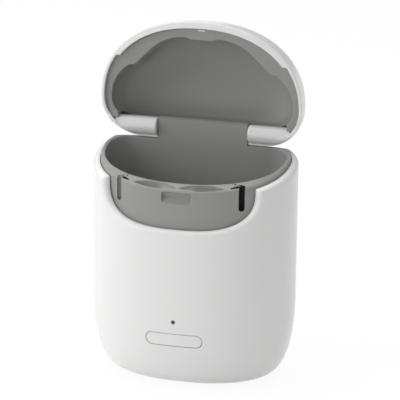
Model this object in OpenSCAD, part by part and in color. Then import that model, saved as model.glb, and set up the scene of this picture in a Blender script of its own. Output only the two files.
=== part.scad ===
// Hearing aid charging case: white D-shaped shell, grey charging tray and a lid on a rear hinge.
// Millimetres. X runs to the right, -Y to the front, Z up. The foot pad stands on z = 0.
// The lid is drawn open, resting against the back of the shell.

/* [Outline] */
// Half of the width, at the widest line
half_width = 37; // [32:0.5:42]
// Depth from the widest line to the front
front_depth = 29.5; // [26:0.5:34]
// Depth from the widest line to the back, which is also the back corner radius
back_depth = 13.8; // [13:0.1:16]
// Fullness of the front curve, 2 is an ellipse
front_fullness = 2.2; // [2:0.05:2.6]

/* [Shell] */
// Wall at the sides
side_wall = 2.5; // [2.2:0.1:2.8]
// Wall at the front
front_wall = 2.4; // [2:0.1:2.6]
// Wall at the back
back_wall = 2; // [1.6:0.1:2.4]
// Floor thickness
floor_t = 3; // [2.8:0.1:3.4]
// Height over which the bottom rounds in
bottom_h = 31; // [24:0.5:36]
// How far the sides round in at the base
side_round = 10; // [6:0.5:12]
// How far the front rounds in at the base
front_round = 11; // [6:0.5:12]
// How far the back rounds in at the base
back_round = 4; // [2:0.5:5]
// Fullness of the bottom rounding
bottom_fullness = 2.35; // [2:0.05:3]

/* [Rim] */
// Height of the shut lid above the shell's rim, at the widest line
lid_h = 19.3; // [17:0.1:21]
// Fall of the rim per millimetre towards the front
rim_slope = 0.22; // [0.12:0.01:0.26]
// Half width of the front scoop
scoop_half = 28; // [24:0.5:30]
// Depth of the scoop below its corners
scoop_drop = 14.8; // [10:0.1:18]
// Fullness of the scoop's curve
scoop_fullness = 3.1; // [2.4:0.1:4]
// Gap between the shut lid and the shell
seam = 0.3; // [0.25:0.05:0.5]

/* [Hinge] */
// Distance of the hinge line behind the widest line
hinge_y = 9.6; // [9:0.1:10]
// Height of the hinge line above the shell's rim
hinge_up = 7; // [6:0.1:9]
// Radius of the barrels
barrel_r = 3.6; // [3.2:0.1:3.8]
// Half length of the tray's middle barrel
barrel_half = 16.5; // [12:0.5:20]
// Outer end of the lid's barrels
knuckle_end = 31; // [28:0.5:32]
// Gap between the ends of the barrels
knuckle_gap = 0.4; // [0.3:0.05:0.6]
// Pin radius
pin_r = 0.8; // [0.6:0.1:0.9]
// Half length of the pin
pin_half = 27; // [24:0.5:28]
// Radial play of the pin in its bores
pin_play = 0.05; // [0.03:0.01:0.08]
// Angle of the open lid
open_angle = 100; // [95:1:108]
// Gap between the open lid and the edge it rests against
stop_gap = 0.2; // [0.1:0.05:0.4]

/* [Lid] */
// Height of the shut case
case_h = 98.5; // [96:0.5:104]
// Height over which the top rounds in
crown_h = 16; // [12:0.5:18]
// How far the sides and front round in at the top
crown_round = 17; // [10:0.5:20]
// How far the back rounds in at the top
crown_back = 6; // [3:0.5:8]
// Fullness of the top rounding
crown_fullness = 2.2; // [1.8:0.1:2.8]
// Wall of the lid's sides
lid_wall = 1.2; // [1:0.1:1.6]
// Wall of the lid's top
lid_top = 2; // [1.6:0.1:2.6]
// Half width of the thicker skirt
skirt_half = 30; // [29:0.5:31]
// Where the thicker skirt ends, in front of the widest line
skirt_end = 8; // [6:0.5:10]
// Where the lid's edge starts to lift clear of the tray, behind the widest line
heel_y = 4.2; // [3.6:0.1:4.6]
// Length over which it lifts
heel_l = 2.8; // [2.2:0.1:3]
// Gap between the skirt and the tray
skirt_gap = 0.35; // [0.3:0.05:0.5]
// Half width of the small bump inside the lid's front edge
bump_half = 1.3; // [1:0.1:3]
// Gap between the bump and the tray's rim when shut
bump_gap = 0.3; // [0.2:0.05:0.4]
// Thickness of the bump
bump_t = 0.6; // [0.4:0.1:0.7]
// Reach of the bump
bump_reach = 0.9; // [0.6:0.1:1]

/* [Liner] */
// Half width of the liner's hollow
hollow_half = 33.4; // [32:0.2:34]
// Depth of the curve of the hollow's sides
hollow_side = 19; // [16:0.5:21]
// Where the sides of the hollow step in
hollow_step = 12.3; // [10:0.1:14]
// Half width of the front of the hollow at the step
hollow_shoulder = 24.8; // [22:0.1:26]
// Depth of the front of the hollow
hollow_front = 23.5; // [21:0.1:24]
// Rounding of the front of the hollow
hollow_round = 18; // [12:0.5:19]
// Half width of the finger tab in the front of the hollow
tab_half = 4.6; // [3:0.1:6]
// Reach of the tab
tab_reach = 0.7; // [0.4:0.1:1]
// Back of the hollow, which opens towards the hinge
hollow_back = 7.2; // [6.6:0.1:7.6]
// Back of the liner in front of the barrels
liner_rear = 5.4; // [5:0.1:5.5]
// Wall behind the hollow, above the barrels
liner_back = 1.1; // [0.8:0.1:1.4]
// Thickness of the liner's roof
liner_roof = 1.6; // [1.2:0.1:2.4]
// Gap between glued or clipped pieces
fit = 0.12; // [0.08:0.01:0.2]
// Magnet radius
magnet_r = 1.8; // [1.4:0.1:2]
// Magnet length
magnet_h = 3; // [2:0.1:4]
// Magnet place across
magnet_x = 22; // [21:0.1:23]
// Magnet centre behind the skirt's inner face
magnet_edge = 3.1; // [2.8:0.1:3.6]
// Wall below the magnet
magnet_wall = 0.8; // [0.6:0.1:1.2]
// Gap from the barrels to the liner's rear wings
wing_gap = 0.2; // [0.1:0.05:0.4]
// Back of the liner's rear wings, behind the widest line
wing_back = 7.4; // [6.8:0.1:7.6]

/* [Tray] */
// How far the tray's rim stands above the shell's rim
tray_proud = 1.5; // [1:0.1:2]
// Gap from the tray to the shell's front wall
tray_front_gap = 0.35; // [0.3:0.05:0.6]
// Gap from the tray to the shell's side and back walls
tray_side_gap = 0.15; // [0.1:0.05:0.3]
// Tray floor thickness
tray_floor = 3; // [2:0.1:4]
// Wall at the tray's sides
tray_side = 1.5; // [1.2:0.05:1.6]
// Depth of the tray's front rim
front_rim = 3.85; // [3.6:0.05:4.4]
// Depth of the slanted part of the front rim
rim_slant = 3.5; // [2.5:0.1:3.6]
// Fall of the slanted part
rim_fall = 1.1; // [0.6:0.1:1.3]
// Back of the tray's hollow, behind the widest line
tray_back = 8; // [7.6:0.1:8.2]
// Further gap between the open lid and the tray's back rim
tray_drop = 0.15; // [0.1:0.05:0.4]
// Wire slot place across
slot_x = 22.2; // [21:0.1:23]
// Wire slot width
slot_w = 1.9; // [1.4:0.1:2.4]
// Bottom of the wire slots below the shell's rim
slot_drop = 12.4; // [10:0.1:15]
// Depth of the wire slots into the wall
slot_in = 2.5; // [2:0.1:2.7]
// Length of the slit beside each slot
slit_l = 4; // [3:0.1:4.4]
// Width of the slit at the slot
slit_w = 1.2; // [0.8:0.1:1.3]
// Width of the slit at its end
slit_end = 0.4; // [0.3:0.05:0.6]
// Wall in front of the slit, at the slot
slit_lip = 0.45; // [0.4:0.05:0.6]
// Depth of the slit below the rim
slit_d = 7; // [4:0.5:8]
// Length of each rim well
well_l = 16.2; // [12:0.1:16.4]
// Width of each rim well
well_w = 2.6; // [2:0.1:2.8]
// Wall between the wells and the finger recess
well_wall = 0.35; // [0.3:0.05:0.5]
// Bridge between the two wells
well_bridge = 0.8; // [0.6:0.1:2]
// Turn of the wells along the curve of the rim
well_turn = 7.5; // [4:0.5:10]
// Half width of the finger recess
grip_half = 5.3; // [4:0.1:6]
// Underside of the finger recess below the shell's rim
grip_drop = 9.9; // [9.6:0.1:10.2]
// Height of the finger recess
grip_h = 3.7; // [3.6:0.1:3.9]
// Depth of the finger recess
grip_in = 1.6; // [1.3:0.1:1.8]
// Corner radius of the finger recess
grip_r = 0.7; // [0.4:0.1:1]
// Rise of the finger recess's ramp
grip_ramp = 1.8; // [1.2:0.1:2]
// Drop of the ramp below the recess at the tray's face
grip_lip = 0.2; // [0.1:0.05:0.3]
// Radius of the marker dimples
dimple_r = 0.4; // [0.3:0.05:0.5]
// Spacing of the marker dimples
dimple_gap = 1.4; // [1.2:0.1:1.8]
// Marker dimples from the wire slot, towards the middle
dimple_in = 2; // [1.8:0.1:2.4]
// Marker dimples behind the tray's front face
dimple_back = 2.3; // [2.2:0.1:2.5]
// Depth of the marker dimples
dimple_d = 0.5; // [0.3:0.1:0.8]

/* [Seats] */
// Thickness of the insert
seat_h = 8; // [7:0.5:10]
// Play of the insert in the tray
seat_play = 0.2; // [0.1:0.05:0.3]
// Pocket length
pocket_l = 26; // [22:0.5:28]
// Pocket width
pocket_w = 12; // [9:0.5:13]
// Pocket depth
pocket_d = 5.5; // [4:0.1:6]
// Pocket centre across
pocket_x = 16.5; // [15.5:0.1:17]
// Pocket centre towards the front
pocket_y = 7.5; // [7:0.1:8]
// Channel width for the receiver wire
wire_w = 2.2; // [1.6:0.1:3]
// Contact radius
contact_r = 0.9; // [0.6:0.05:1.2]
// Spacing of the two contacts in a pocket
contact_gap = 6; // [4:0.5:8]
// Height of a contact above the pocket's floor
contact_up = 0.8; // [0.5:0.1:1.2]
// Contact board width
strip_w = 7.6; // [6:0.1:8]
// Contact board thickness
strip_t = 1; // [0.8:0.1:1.2]
// Contact board beyond the outer contacts
strip_end = 0.4; // [0.3:0.1:1]
// Gap round the contact board
strip_gap = 0.2; // [0.1:0.05:0.3]

/* [Button] */
// Height of the button's centre
button_z = 19.3; // [18:0.1:21]
// Button length
button_l = 20.4; // [16:0.2:22]
// Button height
button_h = 4.5; // [3.6:0.1:5]
// Gap round the button
button_gap = 0.2; // [0.15:0.05:0.3]
// Overhang of the button's flange behind the wall
button_flange = 0.8; // [0.5:0.1:1]
// Travel of the button
button_travel = 0.5; // [0.3:0.1:0.7]
// Stem radius
stem_r = 1.9; // [1.4:0.1:2]
// Switch body size
switch_w = 6; // [5:0.1:6.4]
// Switch body depth
switch_t = 2.2; // [1.8:0.1:2.6]
// Plunger radius
plunger_r = 1.5; // [1:0.1:1.8]
// Plunger length outside the switch
plunger_out = 1; // [0.9:0.1:1.4]
// Plunger length inside the switch
plunger_in = 1; // [0.8:0.1:1.2]
// Height of the lamp
lamp_z = 26.2; // [25:0.1:29]
// Light pipe radius
pipe_r = 0.7; // [0.5:0.05:1]
// Light pipe collar radius
collar_r = 1.5; // [1.2:0.1:2]

/* [Inside] */
// Height of the foot pad below the shell
foot_proud = 0.4; // [0.3:0.1:0.8]
// Thickness of the foot pad
foot_t = 1.2; // [1:0.1:1.4]
// Margin of the foot pad
foot_margin = 1.2; // [1:0.1:1.4]
// Chassis post size
post_w = 6; // [5:0.5:7]
// Chassis post place across
post_x = 20; // [18:0.5:21]
// Front chassis posts, towards the front
post_front = 8; // [7:0.5:8.5]
// Back chassis posts, behind the widest line
post_back = 4; // [3:0.5:4.5]
// Tray screw place across
screw_x = 28; // [26:0.5:29]
// Tray screw place before and behind the widest line
screw_y = 5; // [4:0.5:6]
// Chassis deck thickness
deck_t = 3; // [2:0.5:4]
// Chassis shelf thickness
shelf_t = 2; // [1.5:0.5:3]
// Height of the chassis shelf
shelf_z = 11.6; // [11.5:0.1:13]
// Cell width
cell_w = 33; // [28:0.5:33]
// Cell thickness
cell_t = 8; // [6:0.5:9]
// Cell height
cell_h = 27.4; // [24:0.1:28]
// Front of the cell, in front of the widest line
cell_y = 3; // [2:0.1:4]
// Thickness of the pad on the cell
pad_t = 2; // [1:0.1:3]
// Margin of the pad on the cell
pad_margin = 1; // [0.5:0.1:2]
// Height of the main board
board_z = 6.6; // [6.4:0.1:7]
// Board thickness
board_t = 1.2; // [1:0.1:1.6]
// Main board width
board_w = 30; // [26:1:32]
// Back of the main board, behind the widest line
board_back = 8.5; // [8:0.1:9]
// Standoff radius
standoff_r = 2; // [1.5:0.1:2.5]
// Standoffs from the sides of the main board
standoff_in = 3; // [2.5:0.1:4]
// Front standoffs, in front of the widest line
standoff_front = 10; // [8:0.5:12]
// Back standoffs, behind the widest line
standoff_back = 6; // [5:0.1:6.4]
// Button board width
small_w = 26; // [22:1:28]
// Face of the button board, towards the front
small_y = 20.4; // [20:0.1:21]
// Top of the button board
small_top = 33; // [30:0.5:36]
// Socket width
usb_w = 8.9; // [8.6:0.1:9.2]
// Socket height
usb_h = 3.2; // [3:0.1:3.4]
// Socket length
usb_l = 7.6; // [6.5:0.1:8]
// Screw shank radius
screw_r = 1; // [0.8:0.1:1.3]
// Screw head radius
head_r = 1.9; // [1.6:0.1:2.2]
// Screw head height
head_h = 1.2; // [0.8:0.1:1.4]
// Length of the base screws
base_screw_l = 4; // [3:0.5:5]

/* [Hidden] */
$fn = 48;
front_steps = 44;
corner_steps = 8;
body_rows = 9;
crown_rows = 8;
far = 120;
lean = open_angle - 90;
back_off = back_depth - hinge_y;
base_z = foot_proud;
floor_z = base_z + floor_t;
crown_z = case_h - crown_h;
rim_z = case_h - lid_h;
hinge_z = rim_z + hinge_up;
deck_z = shelf_z + shelf_t + cell_h + pad_t;
tray_z = deck_z + deck_t;
slot_z = rim_z - slot_drop;
grip_z = rim_z - grip_drop;
tray_half = half_width - side_wall - tray_side_gap;
tray_front = front_depth - front_wall - tray_front_gap;
tray_rear = back_depth - back_wall - tray_side_gap;
cavity_half = tray_half - tray_side;
cavity_front = tray_front - front_rim;
cavity_z = tray_z + tray_floor;
tray_rim = rim_z + tray_proud;
skirt_side = tray_half + skirt_gap;
skirt_front = tray_front + skirt_gap;
bump_y = skirt_front - bump_reach;
bump_z = tray_rim - rim_slope * bump_y - rim_fall * (1 - (tray_front - bump_y) / rim_slant) + bump_gap;
liner_z = tray_rim + seam;
lid_half = half_width - lid_wall;
lid_front = front_depth - lid_wall;
lid_rear = back_depth - 1.5 * lid_wall;
scoop_z = rim_z - rim_slope * front_at(scoop_half, half_width, front_depth);
board_top = board_z + board_t;
small_back = small_y - board_t;
socket_z = board_top + usb_h / 2;
switch_face = small_y + switch_t;
plunger_tip = switch_face + plunger_out;
stud_z = cavity_z + strip_t;
strip_half = pocket_x + contact_gap / 2 + contact_r + strip_end;
posts = [for (sx = [-1, 1], py = [-post_front, post_back]) [sx * post_x, py]];
screws = [for (sx = [-1, 1], sy = [-1, 1]) [sx * screw_x, sy * screw_y]];
tray_screw_l = deck_t + tray_floor - 1;
magnet_y = front_at(magnet_x, skirt_side, skirt_front) - magnet_edge;
magnet_z = liner_z - rim_slope * (magnet_y - magnet_r) + magnet_wall;
flange_in = front_wall + 0.15;
notch_top = hinge_z + (tray_rear - hinge_y) / cos(lean) + back_off * tan(lean) + seam;

// Distance of the front curve from the widest line, at x
function front_at(x, hw, fd) = fd * pow(1 - pow(min(1, abs(x) / hw), front_fullness), 1 / front_fullness);

// D-shaped plan: a full front curve, round back corners and a straight back
function plan(hw, fd, bd) = concat(
    [for (i = [0:front_steps - 1]) let (a = 180 * i / front_steps, e = 2 / front_fullness)
        [-hw * sign(cos(a)) * pow(abs(cos(a)), e), -fd * pow(abs(sin(a)), e)]],
    [for (i = [0:corner_steps]) let (a = 90 * i / corner_steps) [hw - bd + bd * cos(a), bd * sin(a)]],
    [for (i = [0:corner_steps - 1]) let (a = 90 * i / corner_steps) [bd - hw - bd * sin(a), bd * cos(a)]]);

// How far a rounding of the given fullness has drawn in, for t from 0 to 1
function draw_in(t, p) = 1 - pow(1 - pow(t, p), 1 / p);

// Plan sizes of the shell at a height, less an inset at the sides, front and back
function body_level(z, s, f, b) =
    let (g = draw_in(max(0, (base_z + bottom_h - z) / bottom_h), bottom_fullness))
    [half_width - side_round * g - s, front_depth - front_round * g - f, back_depth - back_round * g - b, z];

// Plan sizes of the lid's crown at a share of its height
function crown_level(t, s, b, low, high) = let (g = draw_in(t, crown_fullness))
    [half_width - crown_round * g - s, front_depth - crown_round * g - s, back_depth - crown_back * g - b,
        low + (high - low) * t];

// Height a gap below the back of the open lid, at y
function back_rim(y, gap) = hinge_z - back_off / cos(lean) - gap - tan(lean) * (y - hinge_y);

// Solid through a stack of plans, which can fall towards the front
module loft(levels, slope = 0) {
    n = front_steps + 2 * corner_steps + 1;
    k = len(levels);
    points = [for (l = levels) for (p = plan(l[0], l[1], l[2])) [p[0], p[1], l[3] + slope * p[1]]];
    sides = [for (j = [0:k - 2]) for (i = [0:n - 1]) let (a = j * n + i, b = j * n + (i + 1) % n)
        for (f = [[a, a + n, b + n], [a, b + n, b]]) f];
    polyhedron(points, concat([[for (i = [0:n - 1]) i]], sides, [[for (i = [0:n - 1]) k * n - 1 - i]]), 10);
}

// Shell form from a height upwards, less an inset
module body_form(s, f, b, low) {
    rows = [for (i = [0:body_rows]) low + (base_z + bottom_h - low) * (1 - cos(90 * i / body_rows))];
    loft(concat([for (z = rows) body_level(z, s, f, b)], [body_level(case_h, s, f, b)]));
}

// Lid form: straight walls and a rounded crown, less an inset
module lid_form(s, b, top) {
    rows = [for (i = [0:crown_rows]) sin(90 * i / crown_rows)];
    loft(concat([[half_width - s, front_depth - s, back_depth - b, tray_z]],
        [for (t = rows) crown_level(t, s, b, crown_z, case_h - top)]));
}

// Bar along X from a side-view outline
module side_bar(outline) {
    rotate([90, 0, 90]) linear_extrude(height = 4 * half_width, center = true) polygon(outline);
}

// U-shaped thumb scoop seen from the front
module scoop() {
    steps = 40;
    curve = [for (i = [0:steps]) let (a = 180 * i / steps, e = 2 / scoop_fullness)
        [-scoop_half * sign(cos(a)) * pow(abs(cos(a)), e), scoop_z - scoop_drop * pow(abs(sin(a)), e)]];
    rotate([90, 0, 0]) linear_extrude(height = far)
        polygon(concat([[-scoop_half, case_h]], curve, [[scoop_half, case_h]]));
}

// Everything above a rim that falls to the front and lies a gap below the open lid at the back
module above_rim(z, gap) {
    peak = (back_rim(0, gap) - z) / (rim_slope + tan(lean));
    side_bar([[-far, z - rim_slope * far], [peak, z + rim_slope * peak], [far, back_rim(far, gap)],
        [far, far], [-far, far]]);
}

// Everything above the lid's lower edge
module above_lid_edge() {
    z = rim_z + seam;
    heel_z = back_rim(heel_y + heel_l, stop_gap + tray_drop);
    side_bar([[-far, z - rim_slope * far], [heel_y, z + rim_slope * heel_y], [heel_y + heel_l, heel_z],
        [hinge_y, heel_z], [hinge_y, hinge_z - 0.5], [far, hinge_z - 0.5], [far, far], [-far, far]]);
}

// Cylinder along the hinge line, from one x to another
module hinge_rod(r, x0, x1) {
    translate([x0, hinge_y, hinge_z]) rotate([0, 90, 0]) cylinder(r = r, h = x1 - x0);
}

// Places the lid open
module open_lid() {
    translate([0, hinge_y, hinge_z]) rotate([-open_angle, 0, 0]) translate([0, -hinge_y, -hinge_z])
        children();
}

// Bar with round ends along X, standing on the front wall and running back
module pill(l, h, z, y0, y1) {
    translate([0, y1, z]) rotate([90, 0, 0]) linear_extrude(height = y1 - y0) {
        square([l - h, h], center = true);
        for (sx = [-1, 1]) translate([sx * (l - h) / 2, 0]) circle(d = h);
    }
}

// Rounded rectangle about the origin
module soft_rect(w, h, r) {
    square([w - 2 * r, h], center = true);
    square([w, h - 2 * r], center = true);
    for (sx = [-1, 1], sy = [-1, 1]) translate([sx * (w / 2 - r), sy * (h / 2 - r)]) circle(r = r);
}

// Rod along Y between two places in front of the widest line
module front_rod(r, x, z, y0, y1) {
    translate([x, -y0, z]) rotate([90, 0, 0]) cylinder(r = r, h = y1 - y0);
}

module body_shell() {
    color("white") difference() {
        union() {
            difference() {
                body_form(0, 0, 0, base_z);
                body_form(side_wall, front_wall, back_wall, floor_z);
                above_rim(rim_z, stop_gap);
                scoop();
            }
            for (sx = [-1, 1], y = [-standoff_front, standoff_back])
                translate([sx * (board_w / 2 - standoff_in), y, floor_z - 0.5])
                    cylinder(r = standoff_r, h = board_z - floor_z + 0.5);
        }
        pill(button_l + 2 * button_gap, button_h + 2 * button_gap, button_z, -far, -front_depth / 2);
        front_rod(pipe_r + pin_play, 0, lamp_z, front_depth / 2, far);
        translate([0, back_depth, socket_z]) rotate([90, 0, 0])
            linear_extrude(height = 2 * (back_depth - hinge_y), center = true)
                soft_rect(usb_w + 2 * fit, usb_h + 2 * fit, usb_h / 2);
        translate([0, 0, -1]) linear_extrude(height = 1 + foot_t + fit / 2) foot_plan(-fit);
        for (p = posts) translate([p[0], p[1], 0]) cylinder(r = screw_r + fit, h = floor_z + 1);
        for (p = posts) translate([p[0], p[1], 0]) cylinder(r = head_r + fit, h = foot_t + head_h + fit);
    }
}

module foot_plan(margin) {
    m = foot_margin + margin;
    polygon(plan(half_width - side_round - m, front_depth - front_round - m, back_depth - back_round - m));
}

module foot_pad() {
    color("dimgray") linear_extrude(height = foot_t) foot_plan(0);
}

module chassis() {
    color("black") difference() {
        union() {
            intersection() {
                translate([0, 0, deck_z]) linear_extrude(height = deck_t)
                    polygon(plan(tray_half - 1, tray_front - 4, tray_rear - 0.5));
                translate([-far, -small_back + 1, 0]) cube([2 * far, far, far]);
            }
            for (p = posts) translate([p[0] - post_w / 2, p[1] - post_w / 2, floor_z])
                cube([post_w, post_w, deck_z + 1 - floor_z]);
            translate([-post_x, -post_front + post_w / 2 - 1, shelf_z])
                cube([2 * post_x, post_front + post_back - 1, shelf_t]);
        }
        for (p = posts) translate([p[0], p[1], floor_z - 1]) cylinder(r = screw_r, h = base_screw_l + 1);
        for (p = screws) translate([p[0], p[1], deck_z - 1]) cylinder(r = screw_r + fit, h = deck_t + 2);
    }
}

module battery_cell() {
    color("silver") translate([-cell_w / 2, -cell_y, shelf_z + shelf_t]) cube([cell_w, cell_t, cell_h]);
}

module battery_pad() {
    m = pad_margin;
    color("gray") translate([m - cell_w / 2, m - cell_y, deck_z - pad_t])
        cube([cell_w - 2 * m, cell_t - 2 * m, pad_t]);
}

module main_board() {
    color("darkgreen") translate([-board_w / 2, -small_back, board_z])
        cube([board_w, small_back + board_back, board_t]);
}

module usb_socket() {
    mouth = back_depth - back_round * draw_in((base_z + bottom_h - socket_z) / bottom_h, bottom_fullness);
    color("silver") translate([0, mouth - 0.1, socket_z]) rotate([90, 0, 0]) difference() {
        linear_extrude(height = usb_l) soft_rect(usb_w, usb_h, usb_h / 2 - 0.1);
        translate([0, 0, -1]) linear_extrude(height = usb_l - 1)
            soft_rect(usb_w - 0.6, usb_h - 0.6, usb_h / 2 - 0.4);
    }
}

module button_board() {
    color("darkgreen") translate([-small_w / 2, -small_y, board_z - 1])
        cube([small_w, board_t, small_top - board_z + 1]);
}

module tact_switch() {
    color("dimgray") difference() {
        translate([-switch_w / 2, -switch_face, button_z - switch_w / 2])
            cube([switch_w, switch_t, switch_w]);
        front_rod(plunger_r + pin_play, 0, button_z, switch_face - plunger_in - button_travel - 0.1, far);
    }
}

module status_led() {
    color("white") translate([-0.8, -small_y - 0.8, lamp_z - 0.5]) cube([1.6, 0.8, 1]);
}

module light_pipe() {
    level = body_level(lamp_z, 0, 0, 0);
    color("gray") {
        front_rod(pipe_r, 0, lamp_z, small_y + 0.8, level[1] - 0.05);
        front_rod(collar_r, 0, lamp_z, level[1] - front_wall - 1.2, level[1] - front_wall - 0.2);
    }
}

// Lens-shaped well, its long axis along X
module lens(l, w, h) {
    r = (l * l / 4 + w * w / 4) / w;
    intersection() {
        translate([0, r - w / 2, 0]) cylinder(r = r, h = h, $fn = 120);
        translate([0, w / 2 - r, 0]) cylinder(r = r, h = h, $fn = 120);
    }
}

// Outside of the tray's front rim, above its slant
module front_slant() {
    half = tray_half + rim_fall;
    low = tray_rim - rim_fall;
    difference() {
        translate([-far, -far, 0]) cube([2 * far, far, far]);
        loft([[half, tray_front, tray_rear, -far], [half, tray_front, tray_rear, low],
            [half, tray_front - 2 * rim_slant, tray_rear, low + 2 * rim_fall]], rim_slope);
    }
}

module tray() {
    wall_y = front_at(slot_x, tray_half, tray_front);
    well_z = grip_z + grip_h + well_wall;
    well_x = well_bridge / 2 + well_l / 2 * cos(well_turn);
    well_y = (front_at(well_x, tray_half, tray_front) + front_at(well_x, cavity_half, cavity_front)) / 2;
    slot_rim = tray_rim - rim_slope * wall_y;
    dimple_x = slot_x - dimple_in;
    dimple_y = front_at(dimple_x, tray_half, tray_front) - dimple_back;
    color("gray") difference() {
        union() {
            difference() {
                translate([0, 0, tray_z]) linear_extrude(height = case_h - tray_z)
                    polygon(plan(tray_half, tray_front, tray_rear));
                translate([0, 0, cavity_z]) linear_extrude(height = far)
                    polygon(plan(cavity_half, cavity_front, tray_back));
                above_rim(tray_rim, stop_gap + tray_drop);
                front_slant();
            }
            translate([-barrel_half, tray_back, cavity_z])
                cube([2 * barrel_half, tray_rear - 0.05 - tray_back, hinge_z - cavity_z]);
            intersection() {
                hinge_rod(barrel_r, -barrel_half, barrel_half);
                translate([-far, tray_back, 0]) cube(2 * far);
            }
        }
        hinge_rod(pin_r + pin_play, -far, far);
        for (sx = [-1, 1]) {
            translate([sx * well_x, -well_y, well_z]) rotate([0, 0, sx * well_turn])
                lens(well_l, well_w, far);
            translate([sx * slot_x, -wall_y + slot_in, slot_z + slot_w / 2]) rotate([90, 0, 0])
                linear_extrude(height = far) {
                    circle(d = slot_w);
                    translate([-slot_w / 2, 0]) square([slot_w, far]);
                }
            translate([sx * slot_x, slit_lip - wall_y, slot_rim - slit_d]) rotate([0, 0, sx * 22])
                linear_extrude(height = far) polygon([[0, 0], [-sx * slit_l, 0], [-sx * slit_l, slit_end],
                    [0, slit_w]]);
            for (d = [-0.5, 0.5])
                translate([sx * dimple_x + d * dimple_gap, -dimple_y,
                    tray_rim - rim_slope * dimple_y - dimple_d]) cylinder(r = dimple_r, h = far, $fn = 24);
        }
        intersection() {
            translate([0, 0, grip_z + grip_h / 2]) rotate([90, 0, 0]) linear_extrude(height = far)
                soft_rect(2 * grip_half, grip_h, grip_r);
            side_bar([[-far, grip_z - grip_h], [-tray_front, grip_z - grip_lip],
                [grip_in - tray_front, grip_z + grip_ramp], [grip_in - tray_front, far], [-far, far]]);
        }
        for (p = screws) translate([p[0], p[1], tray_z - 1]) cylinder(r = screw_r, h = tray_floor + 0.2);
    }
}

module seat_insert() {
    color("dimgray") difference() {
        translate([0, 0, cavity_z]) linear_extrude(height = seat_h)
            polygon(plan(cavity_half - seat_play, cavity_front - seat_play, tray_back - seat_play));
        translate([-strip_half - strip_gap, -pocket_y - strip_w / 2 - strip_gap, cavity_z - 1])
            cube([2 * (strip_half + strip_gap), strip_w + 2 * strip_gap, 1 + strip_t + fit]);
        for (sx = [-1, 1]) {
            translate([sx * pocket_x, -pocket_y, cavity_z + seat_h - pocket_d]) linear_extrude(height = far)
                soft_rect(pocket_l, pocket_w, pocket_w / 2 - 0.1);
            translate([sx * slot_x - wire_w / 2, -far, cavity_z + seat_h - pocket_d / 2])
                cube([wire_w, far - pocket_y, far]);
            for (d = [-0.5, 0.5]) translate([sx * pocket_x + d * contact_gap, -pocket_y, cavity_z])
                cylinder(r = contact_r + pin_play, h = seat_h);
        }
    }
}

module contact_board() {
    color("darkgreen") translate([-strip_half, -pocket_y - strip_w / 2, cavity_z])
        cube([2 * strip_half, strip_w, strip_t]);
}

module contacts(sx) {
    color("gold") for (d = [-0.5, 0.5]) translate([sx * pocket_x + d * contact_gap, -pocket_y, stud_z])
        cylinder(r = contact_r, h = cavity_z + seat_h - pocket_d + contact_up - stud_z);
}

module contacts_left() {
    contacts(-1);
}

module contacts_right() {
    contacts(1);
}

module hinge_pin() {
    color("silver") hinge_rod(pin_r, -pin_half, pin_half);
}

// Screw with its head at the bottom
module screw(l) {
    cylinder(r = head_r, h = head_h);
    cylinder(r = screw_r - 0.02, h = head_h + l);
}

module tray_screws() {
    color("silver") for (p = screws) translate([p[0], p[1], deck_z - head_h]) screw(tray_screw_l);
}

module base_screws() {
    color("silver") for (p = posts) translate([p[0], p[1], foot_t + fit]) screw(base_screw_l);
}

// Hollow of the lid without the thicker skirt, seen from below
module lid_plan(gap) {
    difference() {
        polygon(plan(lid_half - gap, lid_front - gap, lid_rear - gap));
        intersection() {
            difference() {
                polygon(plan(lid_half + 1, lid_front + 1, lid_rear));
                polygon(plan(skirt_side - gap, skirt_front - gap, lid_rear - gap - 0.5));
            }
            translate([-skirt_half - gap, -far - skirt_end]) square([2 * (skirt_half + gap), far]);
        }
    }
}

module lid_shell() {
    color("white") open_lid() difference() {
        union() {
            intersection() {
                difference() {
                    lid_form(0, 0, 0);
                    translate([0, 0, tray_z - 1]) linear_extrude(height = crown_z + 1.01 - tray_z)
                        lid_plan(0);
                    lid_crown(0, lid_top);
                }
                above_lid_edge();
            }
            intersection() {
                lid_form(0, 0, 0);
                for (sx = [-1, 1]) hinge_rod(barrel_r, sx < 0 ? -knuckle_end : barrel_half + knuckle_gap,
                    sx < 0 ? -barrel_half - knuckle_gap : knuckle_end);
            }
            translate([-bump_half, -skirt_front - 0.5, bump_z])
                cube([2 * bump_half, bump_reach + 0.5, bump_t]);
        }
        hinge_rod(pin_r + pin_play, -pin_half - 0.3, pin_half + 0.3);
        hinge_rod(barrel_r + knuckle_gap, -barrel_half - knuckle_gap, barrel_half + knuckle_gap);
        translate([-barrel_half - knuckle_gap, hinge_y, 0])
            cube([2 * (barrel_half + knuckle_gap), far, notch_top]);
    }
}

// Inside of the lid's crown
module lid_crown(gap, top) {
    rows = [for (i = [0:crown_rows]) sin(90 * i / crown_rows)];
    loft([for (t = rows) crown_level(t, lid_wall + gap, 1.5 * lid_wall + gap, crown_z, case_h - top)]);
}

// Hollow of the liner seen from below: stepped sides, slanted shoulders and a finger tab
module hollow_plan() {
    turn = hollow_round * tan(22.5);
    corner = hollow_shoulder - (hollow_front - hollow_step);
    arc = [for (a = [0:9:45])
        [corner - turn + hollow_round * sin(a), hollow_round * (1 - cos(a)) - hollow_front]];
    side = concat(arc, [[hollow_shoulder, -hollow_step]]);
    difference() {
        union() {
            intersection() {
                polygon(plan(hollow_half, hollow_side, hollow_back));
                translate([-far, -hollow_step]) square([2 * far, far]);
            }
            polygon(concat(side, [[hollow_shoulder - 2, 0], [2 - hollow_shoulder, 0]],
                [for (i = [len(side) - 1:-1:0]) [-side[i][0], side[i][1]]]));
        }
        translate([-tab_half, -hollow_front - 1]) square([2 * tab_half, 1 + tab_reach]);
    }
}

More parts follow.
